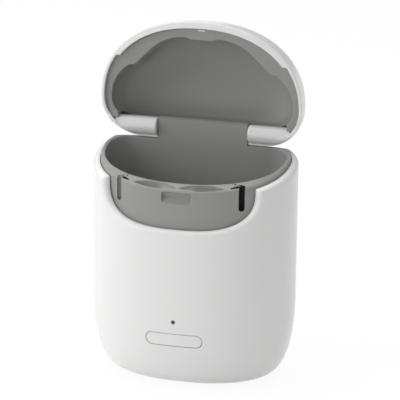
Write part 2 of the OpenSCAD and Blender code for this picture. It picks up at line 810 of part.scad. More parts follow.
module lid_liner() {
    color("gray") open_lid() difference() {
        intersection() {
            union() {
                translate([0, 0, tray_z]) linear_extrude(height = crown_z - tray_z) lid_plan(fit);
                lid_crown(fit, lid_top + fit);
            }
            side_bar([[-far, liner_z - rim_slope * far], [hinge_y, liner_z + rim_slope * hinge_y],
                [hinge_y, far], [-far, far]]);
            union() {
                translate([-far, -far, 0]) cube([2 * far, far + liner_rear, far]);
                translate([-far, 0, hinge_z]) cube([2 * far, hollow_back + liner_back, far]);
                for (sx = [-1, 1]) translate([sx < 0 ? -far : knuckle_end + wing_gap, 0, 0])
                    cube([far - knuckle_end - wing_gap, wing_back, far]);
            }
        }
        intersection() {
            translate([0, 0, tray_z]) linear_extrude(height = far) hollow_plan();
            union() {
                translate([0, 0, tray_z]) linear_extrude(height = crown_z + 0.01 - tray_z)
                    square(far, center = true);
                lid_crown(liner_roof, lid_top + liner_roof);
            }
        }
        hinge_rod(barrel_r + knuckle_gap, -knuckle_end - wing_gap, knuckle_end + wing_gap);
        translate([magnet_x, -magnet_y, magnet_z]) cylinder(r = magnet_r + pin_play, h = far);
    }
}

module lid_magnet() {
    color("silver") open_lid() translate([magnet_x, -magnet_y, magnet_z])
        cylinder(r = magnet_r, h = magnet_h);
}

// Slice of the shell's wall round the button, between two insets
module button_wall(near, deep) {
    low = button_z - button_h;
    rows = [for (i = [0:4]) low + button_h * i / 2];
    difference() {
        loft([for (z = rows) body_level(z, near, near, near)]);
        loft([for (z = concat([low - 1], rows, [rows[4] + 1])) body_level(z, deep, deep, deep)]);
    }
}

module power_button() {
    flange_back = flange_in + button_flange;
    color("white") {
        intersection() {
            pill(button_l, button_h, button_z, -far, -front_depth / 2);
            button_wall(0, flange_back);
        }
        intersection() {
            pill(button_l + 2 * button_flange, button_h + 2 * button_flange, button_z, -far, 0);
            button_wall(flange_in, flange_back);
        }
        front_rod(stem_r, 0, button_z, plunger_tip, front_depth - front_wall - 1.2);
    }
}

module switch_plunger() {
    color("gray") front_rod(plunger_r, 0, button_z, switch_face - plunger_in, plunger_tip);
}

body_shell();
foot_pad();
chassis();
battery_cell();
battery_pad();
main_board();
usb_socket();
button_board();
tact_switch();
status_led();
light_pipe();
tray();
seat_insert();
contact_board();
contacts_left();
contacts_right();
hinge_pin();
tray_screws();
base_screws();
lid_shell();
lid_liner();
lid_magnet();
power_button();
switch_plunger();
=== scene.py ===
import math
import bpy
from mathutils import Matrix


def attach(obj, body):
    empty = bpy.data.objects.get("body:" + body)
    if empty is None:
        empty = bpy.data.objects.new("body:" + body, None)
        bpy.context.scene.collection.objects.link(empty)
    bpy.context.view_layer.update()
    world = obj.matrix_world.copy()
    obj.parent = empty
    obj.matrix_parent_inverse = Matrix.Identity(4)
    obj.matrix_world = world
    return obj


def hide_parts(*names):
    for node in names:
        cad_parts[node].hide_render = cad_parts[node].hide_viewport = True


bl_info = {
    "name": "Hearing Aid Charging Case",
    "version": (1, 0, 0),
    "blender": (4, 5, 0),
    "location": "View3D > Sidebar > Case",
    "description": "Dresses the charging case: glossy shells, grey linings and their small fittings",
    "category": "Object",
}

from types import SimpleNamespace

import bmesh
import bpy
import numpy as np
from bpy.props import FloatProperty, FloatVectorProperty, PointerProperty
from mathutils import Matrix, Vector

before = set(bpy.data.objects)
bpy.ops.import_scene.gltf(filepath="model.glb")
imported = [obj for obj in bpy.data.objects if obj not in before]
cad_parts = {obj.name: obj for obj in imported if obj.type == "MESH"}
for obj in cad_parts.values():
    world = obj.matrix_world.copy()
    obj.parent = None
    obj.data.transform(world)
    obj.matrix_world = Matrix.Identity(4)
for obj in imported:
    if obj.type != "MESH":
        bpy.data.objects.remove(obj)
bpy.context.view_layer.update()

MM = 0.001

# Cutting tools, in millimetres: reach well past a piece, and reach past the face that they open
FAR = 60.0
PAST = 3.0
# Angle from which an edge counts as sharp
SHARP = math.radians(38.0)
# Slack with which a face counts as part of a cut
TOUCH = 0.02
# Where a flared edge starts, short of lying flat on the face
FLARE_START = math.radians(12.0)


def length(name, description, millimetres):
    """A length property, given in millimetres."""
    return FloatProperty(
        name=name, description=description, default=millimetres * MM, unit="LENGTH", precision=5)


def number(name, description, value):
    """A plain number property."""
    return FloatProperty(name=name, description=description, default=value)


def angle(name, description, degrees):
    """An angle property, given in degrees."""
    return FloatProperty(name=name, description=description, default=math.radians(degrees), subtype="ANGLE")


def colour(name, description, value):
    """A linear colour property."""
    return FloatVectorProperty(
        name=name, description=description, default=value, size=3, subtype="COLOR", min=0.0, max=1.0)


class CaseForm(bpy.types.PropertyGroup):
    """Sizes of the case, shut and seen from the front."""

    half_width: length("Half width", "Half of the width at the widest line", 37.0)
    front_depth: length("Front depth", "From the widest line to the front", 29.5)
    back_depth: length("Back depth", "From the widest line to the back, and the back corner radius", 13.8)
    front_fullness: number("Front fullness", "Fullness of the front curve, 2 is an ellipse", 2.2)
    side_wall: length("Side wall", "Shell wall at the sides", 2.5)
    front_wall: length("Front wall", "Shell wall at the front", 2.4)
    back_wall: length("Back wall", "Shell wall at the back", 2.0)
    base_z: length("Base height", "Underside of the shell above the table", 0.4)
    floor_t: length("Floor", "Floor thickness of the shell", 3.0)
    bottom_h: length("Bottom rounding", "Height over which the bottom rounds in", 31.0)
    side_round: length("Side rounding", "How far the sides round in at the base", 10.0)
    front_round: length("Front rounding", "How far the front rounds in at the base", 11.0)
    back_round: length("Back rounding", "How far the back rounds in at the base", 4.0)
    bottom_fullness: number("Bottom fullness", "Fullness of the bottom rounding", 2.35)
    foot_t: length("Foot pad", "Thickness of the foot pad", 1.2)
    foot_margin: length("Foot margin", "Margin round the foot pad", 1.2)
    foot_gap: length("Foot gap", "Gap round the foot pad", 0.12)
    foot_air: length("Foot air", "Gap above the foot pad", 0.06)
    rim_z: length("Rim height", "Rim of the shell at the widest line", 79.2)
    rim_slope: number("Rim slope", "Fall of the rim towards the front", 0.22)
    scoop_half: length("Scoop half width", "Half width of the front scoop", 28.0)
    scoop_drop: length("Scoop depth", "Depth of the scoop below its corners", 14.8)
    scoop_fullness: number("Scoop fullness", "Fullness of the scoop's curve", 3.1)
    seam: length("Seam", "Gap between the shut lid and the shell", 0.3)
    rear_gap: length("Rear gap", "Gap between the open lid and the shell's back rim", 0.2)
    edge_r: length("Edge radius", "Rounding of the shells' edges", 0.45)
    rim_round: length("Rim rounding", "Rounding of the outer edge of the shell's rim", 1.9)
    corner_r: length("Corner blend", "Length over which the scoop's corners turn", 1.3)
    hinge_y: length("Hinge place", "Hinge line behind the widest line", 9.6)
    hinge_z: length("Hinge height", "Height of the hinge line", 86.2)
    open_angle: angle("Open angle", "Angle of the open lid", 100.0)
    barrel_r: length("Barrel radius", "Radius of the hinge barrels", 3.6)
    barrel_half: length("Barrel half length", "Half length of the tray's middle barrel", 16.5)
    knuckle_end: length("Knuckle end", "Outer end of the lid's barrels", 31.0)
    knuckle_gap: length("Knuckle gap", "Gap between the barrels", 0.4)
    knuckle_flat: length("Knuckle flat", "Reach of the flattened front of the lid's barrels", 3.2)
    knuckle_soft: length("Knuckle softness", "Length over which the barrels flatten", 1.2)
    case_h: length("Case height", "Height of the shut case", 98.5)
    crown_h: length("Crown height", "Height over which the top rounds in", 16.0)
    crown_round: length("Crown rounding", "How far the sides and front round in at the top", 17.0)
    crown_back: length("Crown back rounding", "How far the back rounds in at the top", 6.0)
    crown_fullness: number("Crown fullness", "Fullness of the top rounding", 2.2)
    lid_wall: length("Lid wall", "Wall of the lid's sides", 1.2)
    lid_back: length("Lid back", "Wall of the lid's back", 1.8)
    lid_top: length("Lid top", "Wall of the lid's top", 2.0)
    lid_cut: length("Lid cut", "Top of the cut in the lid's back, below the hinge line", 0.5)
    skirt_half: length("Skirt half width", "Half width of the thicker skirt", 30.0)
    heel_y: length("Heel", "Where the lid's edge starts to lift clear of the tray", 4.2)
    heel_l: length("Heel length", "Length over which the edge lifts", 2.8)
    heel_gap: length("Heel gap", "Height of the lifted edge below the open lid's back line", 0.35)
    skirt_wall: length("Skirt wall", "Wall of the skirt at the front", 2.4)
    skirt_side: length("Skirt side", "Half width of the plan of the skirt's inner face", 34.7)
    skirt_end: length("Skirt end", "Where the thicker skirt ends, in front of the widest line", 8.0)
    skirt_step: length("Skirt step", "Length of the steps at the skirt's ends", 0.7)
    pin_r: length("Pin radius", "Radius of the hinge pin", 0.8)
    pin_half: length("Pin half length", "Half length of the hinge pin", 27.0)
    pin_play: length("Pin play", "Play of the pin in the lid's barrels", 0.05)
    pin_room: length("Pin room", "Room at each end of the pin", 0.3)
    bump_half: length("Bump half width", "Half width of the bump inside the lid's front edge", 1.3)
    bump_t: length("Bump thickness", "Thickness of the bump", 0.4)
    bump_reach: length("Bump reach", "Distance of the bump from the skirt", 0.75)


class CaseLining(bpy.types.PropertyGroup):
    """Sizes of the grey tray and the lid's lining."""

    tray_half: length("Tray half width", "Half width of the tray", 34.35)
    tray_front: length("Tray front", "Depth of the tray's front", 26.75)
    tray_rear: length("Tray rear", "Depth of the tray's rear", 11.65)
    tray_z: length("Tray underside", "Height of the tray's underside", 46.0)
    tray_rim: length("Tray rim", "Height of the tray's rim at the widest line", 80.7)
    rim_r: length("Rim radius", "Rounding of the tray's rim", 0.62)
    rim_band: length("Rim band", "Height of the upright band below the tray's rim", 4.0)
    rim_slant: length("Rim slant", "Depth of the slanted part of the front rim", 3.5)
    rim_fall: length("Rim fall", "Fall of the slanted part of the front rim", 1.1)
    cavity_half: length("Well half width", "Half width of the tray's well", 32.85)
    cavity_front: length("Well front", "Depth of the well's front", 22.9)
    cavity_back: length("Well back", "Back of the well", 8.0)
    cavity_z: length("Well floor", "Height of the well's floor", 49.0)
    floor_r: length("Well floor radius", "Rounding between the well's walls and its floor", 2.5)
    web_ease: length("Web ease", "Where the back wall starts to turn, beside the hinge web", 1.0)
    back_gap: length("Back gap", "Gap between the open lid and the tray's back rim", 0.35)
    slot_x: length("Wire slot place", "Wire slots from the middle", 22.2)
    slot_w: length("Wire slot width", "Width of the wire slots", 1.9)
    slot_z: length("Wire slot bottom", "Height of the bottom of the wire slots", 66.8)
    slot_in: length("Wire slot depth", "Depth of the wire slots into the wall", 1.65)
    slit_l: length("Slit length", "Length of the slit beside each slot", 4.0)
    slit_w: length("Slit width", "Width of the slit at the slot", 1.2)
    slit_end: length("Slit end", "Width of the slit at its end", 0.4)
    slit_lip: length("Slit lip", "Wall in front of the slit, at the slot", 0.45)
    slit_turn: angle("Slit turn", "Turn of the slits away from the front", 22.0)
    slit_d: length("Slit depth", "Depth of the slit below the rim", 7.0)
    well_l: length("Rim pocket length", "Length of the rim pockets", 16.2)
    well_w: length("Rim pocket width", "Width of the rim pockets", 2.6)
    well_d: length("Rim pocket depth", "Depth of the rim pockets at their outer ends", 2.8)
    well_low: length("Rim pocket shallows", "Depth of the rim pockets above the finger recess", 1.1)
    well_flare: length("Rim pocket flare", "Rounding of the rim pockets' edges", 0.25)
    well_bridge: length("Rim pocket bridge", "Bridge between the rim pockets", 0.8)
    well_turn: angle("Rim pocket turn", "Turn of the rim pockets", 7.5)
    well_margin: length("Rim pocket margin", "Overlap of the shallows with the finger recess's ends", 0.5)
    well_ease: length("Rim pocket ease", "Length over which the rim pockets deepen", 3.0)
    grip_half: length("Recess half width", "Half width of the finger recess", 5.3)
    grip_z: length("Recess height", "Underside of the finger recess", 69.3)
    grip_h: length("Recess opening", "Height of the finger recess", 3.7)
    grip_in: length("Recess depth", "Depth of the finger recess", 1.6)
    grip_r: length("Recess corner", "Corner radius of the finger recess", 0.8)
    grip_flare: length("Recess flare", "Rounding of the finger recess's edge", 0.4)
    grip_ramp: length("Recess ramp", "Rise of the finger recess's ramp", 1.8)
    dimple_r: length("Dimple radius", "Radius of the marker dimples", 0.4)
    dimple_d: length("Dimple depth", "Depth of the marker dimples", 0.9)
    dimple_gap: length("Dimple spacing", "Spacing of the marker dimples", 1.4)
    dimple_in: length("Dimple place", "Marker dimples from the wire slot, towards the middle", 2.0)
    dimple_back: length("Dimple setback", "Marker dimples behind the tray's front face", 2.3)
    hollow_half: length("Hollow half width", "Half width of the lid's hollow", 33.4)
    hollow_side: length("Hollow side curve", "Depth of the curve of the hollow's sides", 19.0)
    hollow_step: length("Hollow step", "Where the sides of the hollow step in", 12.3)
    hollow_shoulder: length("Hollow shoulder", "Half width of the front of the hollow at the step", 24.8)
    hollow_front: length("Hollow front", "Depth of the front of the hollow", 23.5)
    hollow_round: length("Hollow rounding", "Rounding of the front of the hollow", 18.0)
    hollow_back: length("Hollow back", "Back of the hollow, which opens towards the hinge", 7.2)
    tab_half: length("Tab half width", "Half width of the finger tab", 4.6)
    tab_reach: length("Tab reach", "Reach of the finger tab", 0.7)
    tab_slant: length("Tab slant", "Slant of the finger tab's sides", 0.5)
    hollow_middle: length("Hollow middle", "Middle of the hollow, in front of the widest line", 6.0)
    hollow_soft: length("Hollow softness", "Length over which the corners of the hollow's edge turn", 0.55)
    hollow_blend: length("Hollow blend", "Rounding between the hollow's walls and its crown", 4.0)
    hollow_flare: length("Hollow flare", "Rounding of the hollow's edge", 0.4)
    flange_r: length("Flange radius", "Rounding of the flange's outer edge", 0.2)
    liner_rear: length("Lining rear", "Back of the lining in front of the barrels", 5.4)
    liner_back: length("Lining back", "Wall behind the hollow, above the barrels", 1.1)
    wing_gap: length("Wing gap", "Gap from the barrels to the lining's rear wings", 0.2)
    wing_back: length("Wing back", "Back of the lining's rear wings", 7.4)
    liner_roof: length("Lining roof", "Thickness of the lining's roof", 1.6)
    lip: length("Lip", "Gap between the tray's rim and the shut lining", 0.3)
    fit: length("Fit", "Gap between clipped pieces", 0.12)


class CaseButton(bpy.types.PropertyGroup):
    """Sizes of the front button, the lamp and the socket."""

    button_z: length("Button height", "Height of the button's centre", 19.3)
    button_l: length("Button length", "Length of the button", 20.4)
    button_h: length("Button width", "Height of the button's face", 4.5)
    button_gap: length("Button gap", "Gap round the button", 0.2)
    button_t: length("Button thickness", "Thickness of the button's face", 3.1)
    button_r: length("Button edge", "Rounding of the button's edges", 0.12)
    stem_r: length("Stem radius", "Radius of the button's stem", 1.9)
    stem_y: length("Stem end", "Inner end of the stem, in front of the widest line", 23.6)
    stem_in: length("Stem overlap", "Overlap of the stem and the button's face", 0.4)
    opening_y: length("Opening end", "Inner end of the front openings, in front of the widest line", 15.0)
    lamp_z: length("Lamp height", "Height of the lamp", 26.2)
    lamp_r: length("Lamp radius", "Radius of the light pipe's hole", 0.75)
    socket_z: length("Socket height", "Height of the charging socket", 9.4)
    socket_w: length("Socket width", "Width of the socket's opening", 9.14)
    socket_h: length("Socket opening", "Height of the socket's opening", 3.44)


class CaseColours(bpy.types.PropertyGroup):
    """Colours of the finishes."""

    shell: colour("Shell", "Glossy white of the shells", (0.84, 0.84, 0.835))
    lining: colour("Lining", "Matte grey of the tray and lining", (0.312, 0.312, 0.307))
    rubber: colour("Rubber", "Foot pad", (0.045, 0.045, 0.047))
    board: colour("Board", "Circuit boards", (0.02, 0.10, 0.05))
    # The black, at half its tone, is also the painted shade inside the right wire slot and the slits.
    black: colour("Black", "Chassis and switch", (0.012, 0.012, 0.013))
    steel: colour("Steel", "Pin, screws, socket and magnet", (0.55, 0.55, 0.56))
    gold: colour("Gold", "Charging contacts", (0.80, 0.56, 0.22))
    foil: colour("Foil", "Wrap of the cell", (0.62, 0.63, 0.65))
    smoke: colour("Smoke", "Light pipe", (0.035, 0.035, 0.036))


def in_millimetres(group):
    """The values of a property group, with its lengths in millimetres."""
    props = group.bl_rna.properties
    values = {
        key: getattr(group, key) / MM if props[key].unit == "LENGTH" else getattr(group, key)
        for key in group.__annotations__
    }
    return SimpleNamespace(**values)


def form():
    """Sizes of the case, in millimetres."""
    return in_millimetres(bpy.context.scene.case_form)


def lining():
    """Sizes of the tray and the lining, in millimetres."""
    return in_millimetres(bpy.context.scene.case_lining)


def button():
    """Sizes of the button, the lamp and the socket, in millimetres."""
    return in_millimetres(bpy.context.scene.case_button)


# Outlines

class Outline:
    """A D-shaped plan, measured along its edge from the left end of the widest line round the front."""

    samples = 6001

    def __init__(self, half, front, back, fullness):
        self.power = 2.0 / fullness
        self.size = (half, front, back)
        self.turn = np.linspace(0.0, 4.0, self.samples)
        steps = np.diff(self.at_turn(self.turn, self.size), axis=0)
        self.run = np.concatenate([[0.0], np.cumsum(np.hypot(steps[:, 0], steps[:, 1]))])
        self.total = self.run[-1]

    def at_turn(self, turn, size):
        """Points of a plan of the given size: 0 to 1 is the front, then a corner, the back and a corner."""
        half, front, back = size
        turn = np.mod(turn, 4.0)
        side = np.floor(turn).astype(int)
        part = turn - side
        cos, sin = np.cos(np.pi * part), np.sin(np.pi * part)
        bend = np.pi * part / 2.0
        x = np.choose(side, [
            -half * np.sign(cos) * np.abs(cos) ** self.power,
            half - back + back * np.cos(bend),
            (half - back) * (1.0 - 2.0 * part),
            back - half - back * np.sin(bend),
        ])
        y = np.choose(side, [
            -front * np.abs(sin) ** self.power,
            back * np.sin(bend),
            back + 0.0 * part,
            back * np.cos(bend),
        ])
        return np.stack([x, y], axis=-1)

    def turn_at(self, run):
        return np.interp(np.mod(run, self.total), self.run, self.turn)

    def point(self, run):
        return self.at_turn(self.turn_at(run), self.size)

    def normal(self, run):
        along = self.point(run + 0.05) - self.point(run - 0.05)
        along /= np.linalg.norm(along, axis=-1, keepdims=True)
        return np.stack([along[:, 1], -along[:, 0]], axis=-1)

    def run_at_front(self, x):
        """Distance along the front at which the plan has a given x."""
        front = self.turn <= 1.0
        return np.interp(x, self.at_turn(self.turn[front], self.size)[:, 0], self.run[front])


def quarter(count, start=0.0):
    """Angles up to a quarter turn, for a rounding."""
    return np.linspace(start, math.pi / 2.0, count)


def eased(share):
    """A share held between 0 and 1, with a soft start and end."""
    share = np.clip(share, 0.0, 1.0)
    return share * share * (3.0 - 2.0 * share)


def drawn_in(share, fullness):
    """How far a rounding has drawn in, for a share of its height from 0 to 1."""
    return 1.0 - (1.0 - share ** fullness) ** (1.0 / fullness)


def body_size(f, z, side=0.0, front=0.0, back=0.0):
    """Half width, front and back depth of the shell at a height, less the insets."""
    g = drawn_in(max(0.0, (f.base_z + f.bottom_h - z) / f.bottom_h), f.bottom_fullness)
    return (f.half_width - f.side_round * g - side, f.front_depth - f.front_round * g - front,
            f.back_depth - f.back_round * g - back)


def crown_size(f, share, side=0.0, back=0.0):
    """Half width, front and back depth of the lid's crown at a share of its height, less the insets."""
    g = drawn_in(share, f.crown_fullness)
    return (f.half_width - f.crown_round * g - side, f.front_depth - f.crown_round * g - side,
            f.back_depth - f.crown_back * g - back)


def case_outline(f):
    """Plan of the case at its widest."""
    return Outline(f.half_width, f.front_depth, f.back_depth, f.front_fullness)


def at_height(points, z):
    """Points of a plan, set at a height."""
    return np.column_stack([points, np.broadcast_to(z, len(points))])


def blurred(values, reach):
    """Moving average over a closed row of values, taken twice for a soft turn."""
    for _ in range(2):
        values = sum(np.roll(values, k) for k in range(-reach, reach + 1)) / (2 * reach + 1)
    return values


def soft_edge(run, z, total, count, blend):
    """Even points along a closed edge on the unrolled wall, its corners turned over a blend length."""
    fine = 8
    step = np.concatenate([[0.0], np.cumsum(np.hypot(np.diff(run), np.diff(z)))])
    way = np.linspace(0.0, step[-1], fine * count, endpoint=False)
    drift = total * way / step[-1]
    reach = max(1, int(blend / 2.0 / (step[-1] / (fine * count))))
    run = drift + blurred(np.interp(way, step, run) - drift, reach)
    z = blurred(np.interp(way, step, z), reach)
    return run[::fine], z[::fine]


def edge_frame(run, z, total):
    """Unit direction out of the wall's edge, upwards, at each point of a closed edge."""
    along = np.roll(run, -1) - np.roll(run, 1)
    along = np.where(along < -total / 2.0, along + total, along)
    rise = np.roll(z, -1) - np.roll(z, 1)
    size = np.hypot(along, rise)
    return -rise / size, along / size


def scoop_line(f):
    """The scoop's curve seen from the front, from left to right."""
    a = np.linspace(0.0, np.pi, 241)
    e = 2.0 / f.scoop_fullness
    x = -f.scoop_half * np.sign(np.cos(a)) * np.abs(np.cos(a)) ** e
    reach = (f.scoop_half / f.half_width) ** f.front_fullness
    corner = f.rim_z - f.rim_slope * f.front_depth * (1.0 - reach) ** (1.0 / f.front_fullness)
    return x, corner - f.scoop_drop * np.abs(np.sin(a)) ** e


def edge_with_scoop(outline, f, height):
    """The rim of the body along its outline: a height that depends on y, broken by the scoop at the front."""
    x, drop = scoop_line(f)
    scoop = outline.run_at_front(x)
    left = np.linspace(0.0, scoop[0], 200)
    right = np.linspace(scoop[-1], outline.total, 1500)
    run = np.concatenate([left, scoop, right])
    z = np.concatenate([height(outline.point(left)[:, 1]), drop, height(outline.point(right)[:, 1])])
    return run, z


def back_line(f, y, gap):
    """Height of the open lid's back above the case at y, less a gap."""
    lean = f.open_angle - math.pi / 2.0
    return f.hinge_z - (f.back_depth - f.hinge_y) / math.cos(lean) - gap - math.tan(lean) * (y - f.hinge_y)


# Mesh making

def ring(bm, points):
    """A closed loop of edges through the points."""
    verts = [bm.verts.new(p) for p in points]
    edges = [bm.edges.new((verts[i - 1], verts[i])) for i in range(len(verts))]
    return verts, edges


def grown(bm, verts, edges, points):
    """The loop extruded to a new row of points."""
    out = bmesh.ops.extrude_edge_only(bm, edges=edges)["geom"]
    fresh = {g for g in out if isinstance(g, bmesh.types.BMVert)}
    grown_verts = []
    for vert, point in zip(verts, points):
        twin = next(e.other_vert(vert) for e in vert.link_edges if e.other_vert(vert) in fresh)
        twin.co = point
        grown_verts.append(twin)
    grown_edges = [bm.edges.get((grown_verts[i - 1], grown_verts[i])) for i in range(len(grown_verts))]
    return grown_verts, grown_edges


def skin(rows):
    """A closed skin through rows of points, capped at both ends."""
    bm = bmesh.new()
    verts, edges = ring(bm, rows[0])
    bmesh.ops.contextual_create(bm, geom=edges)
    for row in rows[1:]:
        verts, edges = grown(bm, verts, edges, row)
    bmesh.ops.contextual_create(bm, geom=edges)
    bmesh.ops.recalc_face_normals(bm, faces=bm.faces)
    return bm


def slab(points, push):
    """A flat outline pushed along a direction into a solid."""
    bm = bmesh.new()
    face = bm.faces.new([bm.verts.new(p) for p in points])
    out = bmesh.ops.extrude_face_region(bm, geom=[face])["geom"]
    moved = [g for g in out if isinstance(g, bmesh.types.BMVert)]
    bmesh.ops.translate(bm, vec=push, verts=moved)
    bmesh.ops.recalc_face_normals(bm, faces=bm.faces)
    return bm


def block(low, high):
    """A rectangular block between two corners."""
    bm = bmesh.new()
    bmesh.ops.create_cube(bm, size=1.0)
    low, high = Vector(low), Vector(high)
    bmesh.ops.scale(bm, vec=high - low, verts=bm.verts)
    bmesh.ops.translate(bm, vec=(low + high) / 2.0, verts=bm.verts)
    return bm


def rod(radius, start, end, segments):
    """A round bar between two points."""
    bm = bmesh.new()
    way = Vector(end) - Vector(start)
    bmesh.ops.create_cone(
        bm, cap_ends=True, segments=segments, radius1=radius, radius2=radius, depth=way.length)
    turn = way.to_track_quat("Z", "Y").to_matrix()
    bmesh.ops.rotate(bm, cent=(0, 0, 0), matrix=turn, verts=bm.verts)
    bmesh.ops.translate(bm, vec=(Vector(start) + Vector(end)) / 2.0, verts=bm.verts)
    return bm


def linked(name, data):
    """An object that shows the data in the scene."""
    obj = bpy.data.objects.new(name, data)
    bpy.context.scene.collection.objects.link(obj)
    return obj


def rest_object(name, bm):
    """An object that holds the mesh. A piece is in millimetres until it is settled."""
    mesh = bpy.data.meshes.new(name)
    bm.to_mesh(mesh)
    bm.free()
    return linked(name, mesh)


def baked(obj):
    """The object's mesh with its modifiers taken in."""
    bpy.context.view_layer.update()
    graph = bpy.context.evaluated_depsgraph_get()
    mesh = bpy.data.meshes.new_from_object(obj.evaluated_get(graph))
    obj.modifiers.clear()
    old, obj.data = obj.data, mesh
    bpy.data.meshes.remove(old)
    return obj


def combine(obj, tool, operation):
    """Cuts, joins or keeps the overlap of a piece and a tool mesh."""
    helper = rest_object("tool", tool)
    change = obj.modifiers.new(operation.lower(), "BOOLEAN")
    change.operation = operation
    change.solver = "EXACT"
    change.object = helper
    baked(obj)
    mesh = helper.data
    bpy.data.objects.remove(helper)
    bpy.data.meshes.remove(mesh)
    return obj


def cut(obj, *tools):
    """Cuts tools out of a piece."""
    for tool in tools:
        combine(obj, tool, "DIFFERENCE")
    return obj


def round_edges(obj, width):
    """Rounds the sharp edges of a piece, in millimetres."""
    bevel = obj.modifiers.new("edge rounding", "BEVEL")
    bevel.width = width * MM
    bevel.segments = 3
    bevel.limit_method = "ANGLE"
    bevel.angle_limit = SHARP
    bevel.use_clamp_overlap = False
    bevel.harden_normals = True
    bevel.miter_outer = "MITER_ARC"
    return obj


def shade(obj):
    """Smooth shading, broken only at sharp edges."""
    mesh = obj.data
    mesh.polygons.foreach_set("use_smooth", [True] * len(mesh.polygons))
    mesh.set_sharp_from_angle(angle=SHARP)


def mend(obj, reach=0.001):
    """Closes pinholes and drops faces with no area that the cuts leave behind."""
    bm = bmesh.new()
    bm.from_mesh(obj.data)
    bmesh.ops.remove_doubles(bm, verts=bm.verts, dist=reach)
    bmesh.ops.dissolve_degenerate(bm, edges=bm.edges, dist=reach)
    bmesh.ops.holes_fill(bm, edges=[edge for edge in bm.edges if edge.is_boundary], sides=6)
    bm.to_mesh(obj.data)
    bm.free()


def settle(obj, body, slot, node, swing=None):
    """Finishes a piece: swings it open with the lid, sets it in metres and hangs it on its body."""
    mend(obj)
    if swing:
        obj.data.transform(swing)
    obj.data.transform(Matrix.Scale(MM, 4))
    obj.data.materials.clear()
    obj.data.materials.append(named_finish(slot))
    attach(obj, body)
    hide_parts(node)


def lid_swing(f):
    """Turns the shut lid open about the hinge."""
    hinge = Matrix.Translation((0.0, f.hinge_y, f.hinge_z))
    return hinge @ Matrix.Rotation(-f.open_angle, 4, "X") @ hinge.inverted()


# Materials

class Value:
    """A socket of a node tree, with arithmetic that adds the nodes it needs."""

    def __init__(self, nodes, socket):
        self.nodes = nodes
        self.socket = socket

    def math(self, operation, other):
        return self.nodes.node("ShaderNodeMath", {"operation": operation}, [self, other])

    def __add__(self, other):
        return self.math("ADD", other)

    __radd__ = __add__

    def __mul__(self, other):
        return self.math("MULTIPLY", other)

    __rmul__ = __mul__

    def largest(self, other):
        return self.math("MAXIMUM", other)


class Nodes:
    """A node tree under construction."""

    def __init__(self, owner):
        owner.use_nodes = True
        self.tree = owner.node_tree
        self.tree.nodes.clear()

    def node(self, kind, settings, inputs, output=0):
        """Adds a node: its settings first, then the values or links of its sockets, by place or name."""
        made = self.tree.nodes.new(kind)
        for key, value in settings.items():
            setattr(made, key, value)
        for key, value in inputs.items() if isinstance(inputs, dict) else enumerate(inputs):
            if isinstance(value, Value):
                self.tree.links.new(value.socket, made.inputs[key])
            else:
                made.inputs[key].default_value = value
        return Value(self, made.outputs[output]) if len(made.outputs) else made

    def ray(self, kind):
        """1 for a ray of this kind, else 0."""
        return self.node("ShaderNodeLightPath", {}, {}, "Is %s Ray" % kind)


class Finish(Nodes):
    """A material under construction."""

    def __init__(self, name):
        self.material = bpy.data.materials.new(name)
        super().__init__(self.material)

    def place(self):
        """Place on the object, in its own coordinates."""
        return self.node("ShaderNodeTexCoord", {}, {}, "Object")

    def noise(self, scale, detail, rough, stretch=None):
        """Soft random tones over the object."""
        spot = self.place()
        if stretch:
            spot = self.node("ShaderNodeMapping", {}, {"Vector": spot, "Scale": stretch})
        return self.node(
            "ShaderNodeTexNoise", {}, {"Vector": spot, "Scale": scale, "Detail": detail, "Roughness": rough}
        )

    def tones(self, share, low, high):
        """A colour between two, by a share."""
        return self.node(
            "ShaderNodeMix", {"data_type": "RGBA"}, {0: share, 6: (*low, 1.0), 7: (*high, 1.0)}, 2
        )

    def bump(self, height, strength, distance):
        """A fine relief of the surface."""
        return self.node(
            "ShaderNodeBump", {}, {"Strength": strength, "Distance": distance, "Height": height}
        )

    def surface(self, **inputs):
        """Ends the material in a principled shader."""
        names = {key.replace("_", " "): value for key, value in inputs.items()}
        shader = self.node("ShaderNodeBsdfPrincipled", {}, names)
        self.node("ShaderNodeOutputMaterial", {}, {"Surface": shader})
        return self.material


def scaled(tone, share):
    """A colour made darker or lighter."""
    return tuple(min(1.0, c * share) for c in tone)


def gloss_white(tone):
    """Moulded glossy plastic with a trace of flow and a very fine peel."""
    finish = Finish("gloss white")
    flow = finish.noise(28.0, 3.0, 0.55)
    peel = finish.noise(2600.0, 2.0, 0.5)
    haze = finish.noise(420.0, 4.0, 0.6)
    return finish.surface(
        Base_Color=finish.tones(flow, scaled(tone, 0.985), scaled(tone, 1.012)),
        Roughness=0.17 + haze * 0.05 + flow * 0.02,
        IOR=1.47,
        Coat_Roughness=0.08,
        Coat_Weight=0.25,
        Normal=finish.bump(peel, 0.05, 0.00002),
    )


def matte_grey(tone):
    """Fine spark-textured plastic."""
    finish = Finish("matte grey")
    flow = finish.noise(35.0, 3.0, 0.55)
    spark = finish.noise(5200.0, 3.0, 0.65)
    cloud = finish.noise(260.0, 3.0, 0.5)
    return finish.surface(
        Base_Color=finish.tones(flow, scaled(tone, 0.965), scaled(tone, 1.03)),
        Roughness=0.40 + spark * 0.10 + cloud * 0.05,
        IOR=1.46,
        Normal=finish.bump(spark, 0.10, 0.00003),
    )


def soft_rubber(tone):
    """Dusty rubber with a fine grain."""
    finish = Finish("foot rubber")
    grain = finish.noise(1800.0, 4.0, 0.6)
    dust = finish.noise(90.0, 4.0, 0.6)
    return finish.surface(
        Base_Color=finish.tones(dust, scaled(tone, 0.8), scaled(tone, 1.5)),
        Roughness=0.62 + grain * 0.2,
        Normal=finish.bump(grain, 0.25, 0.00004),
    )


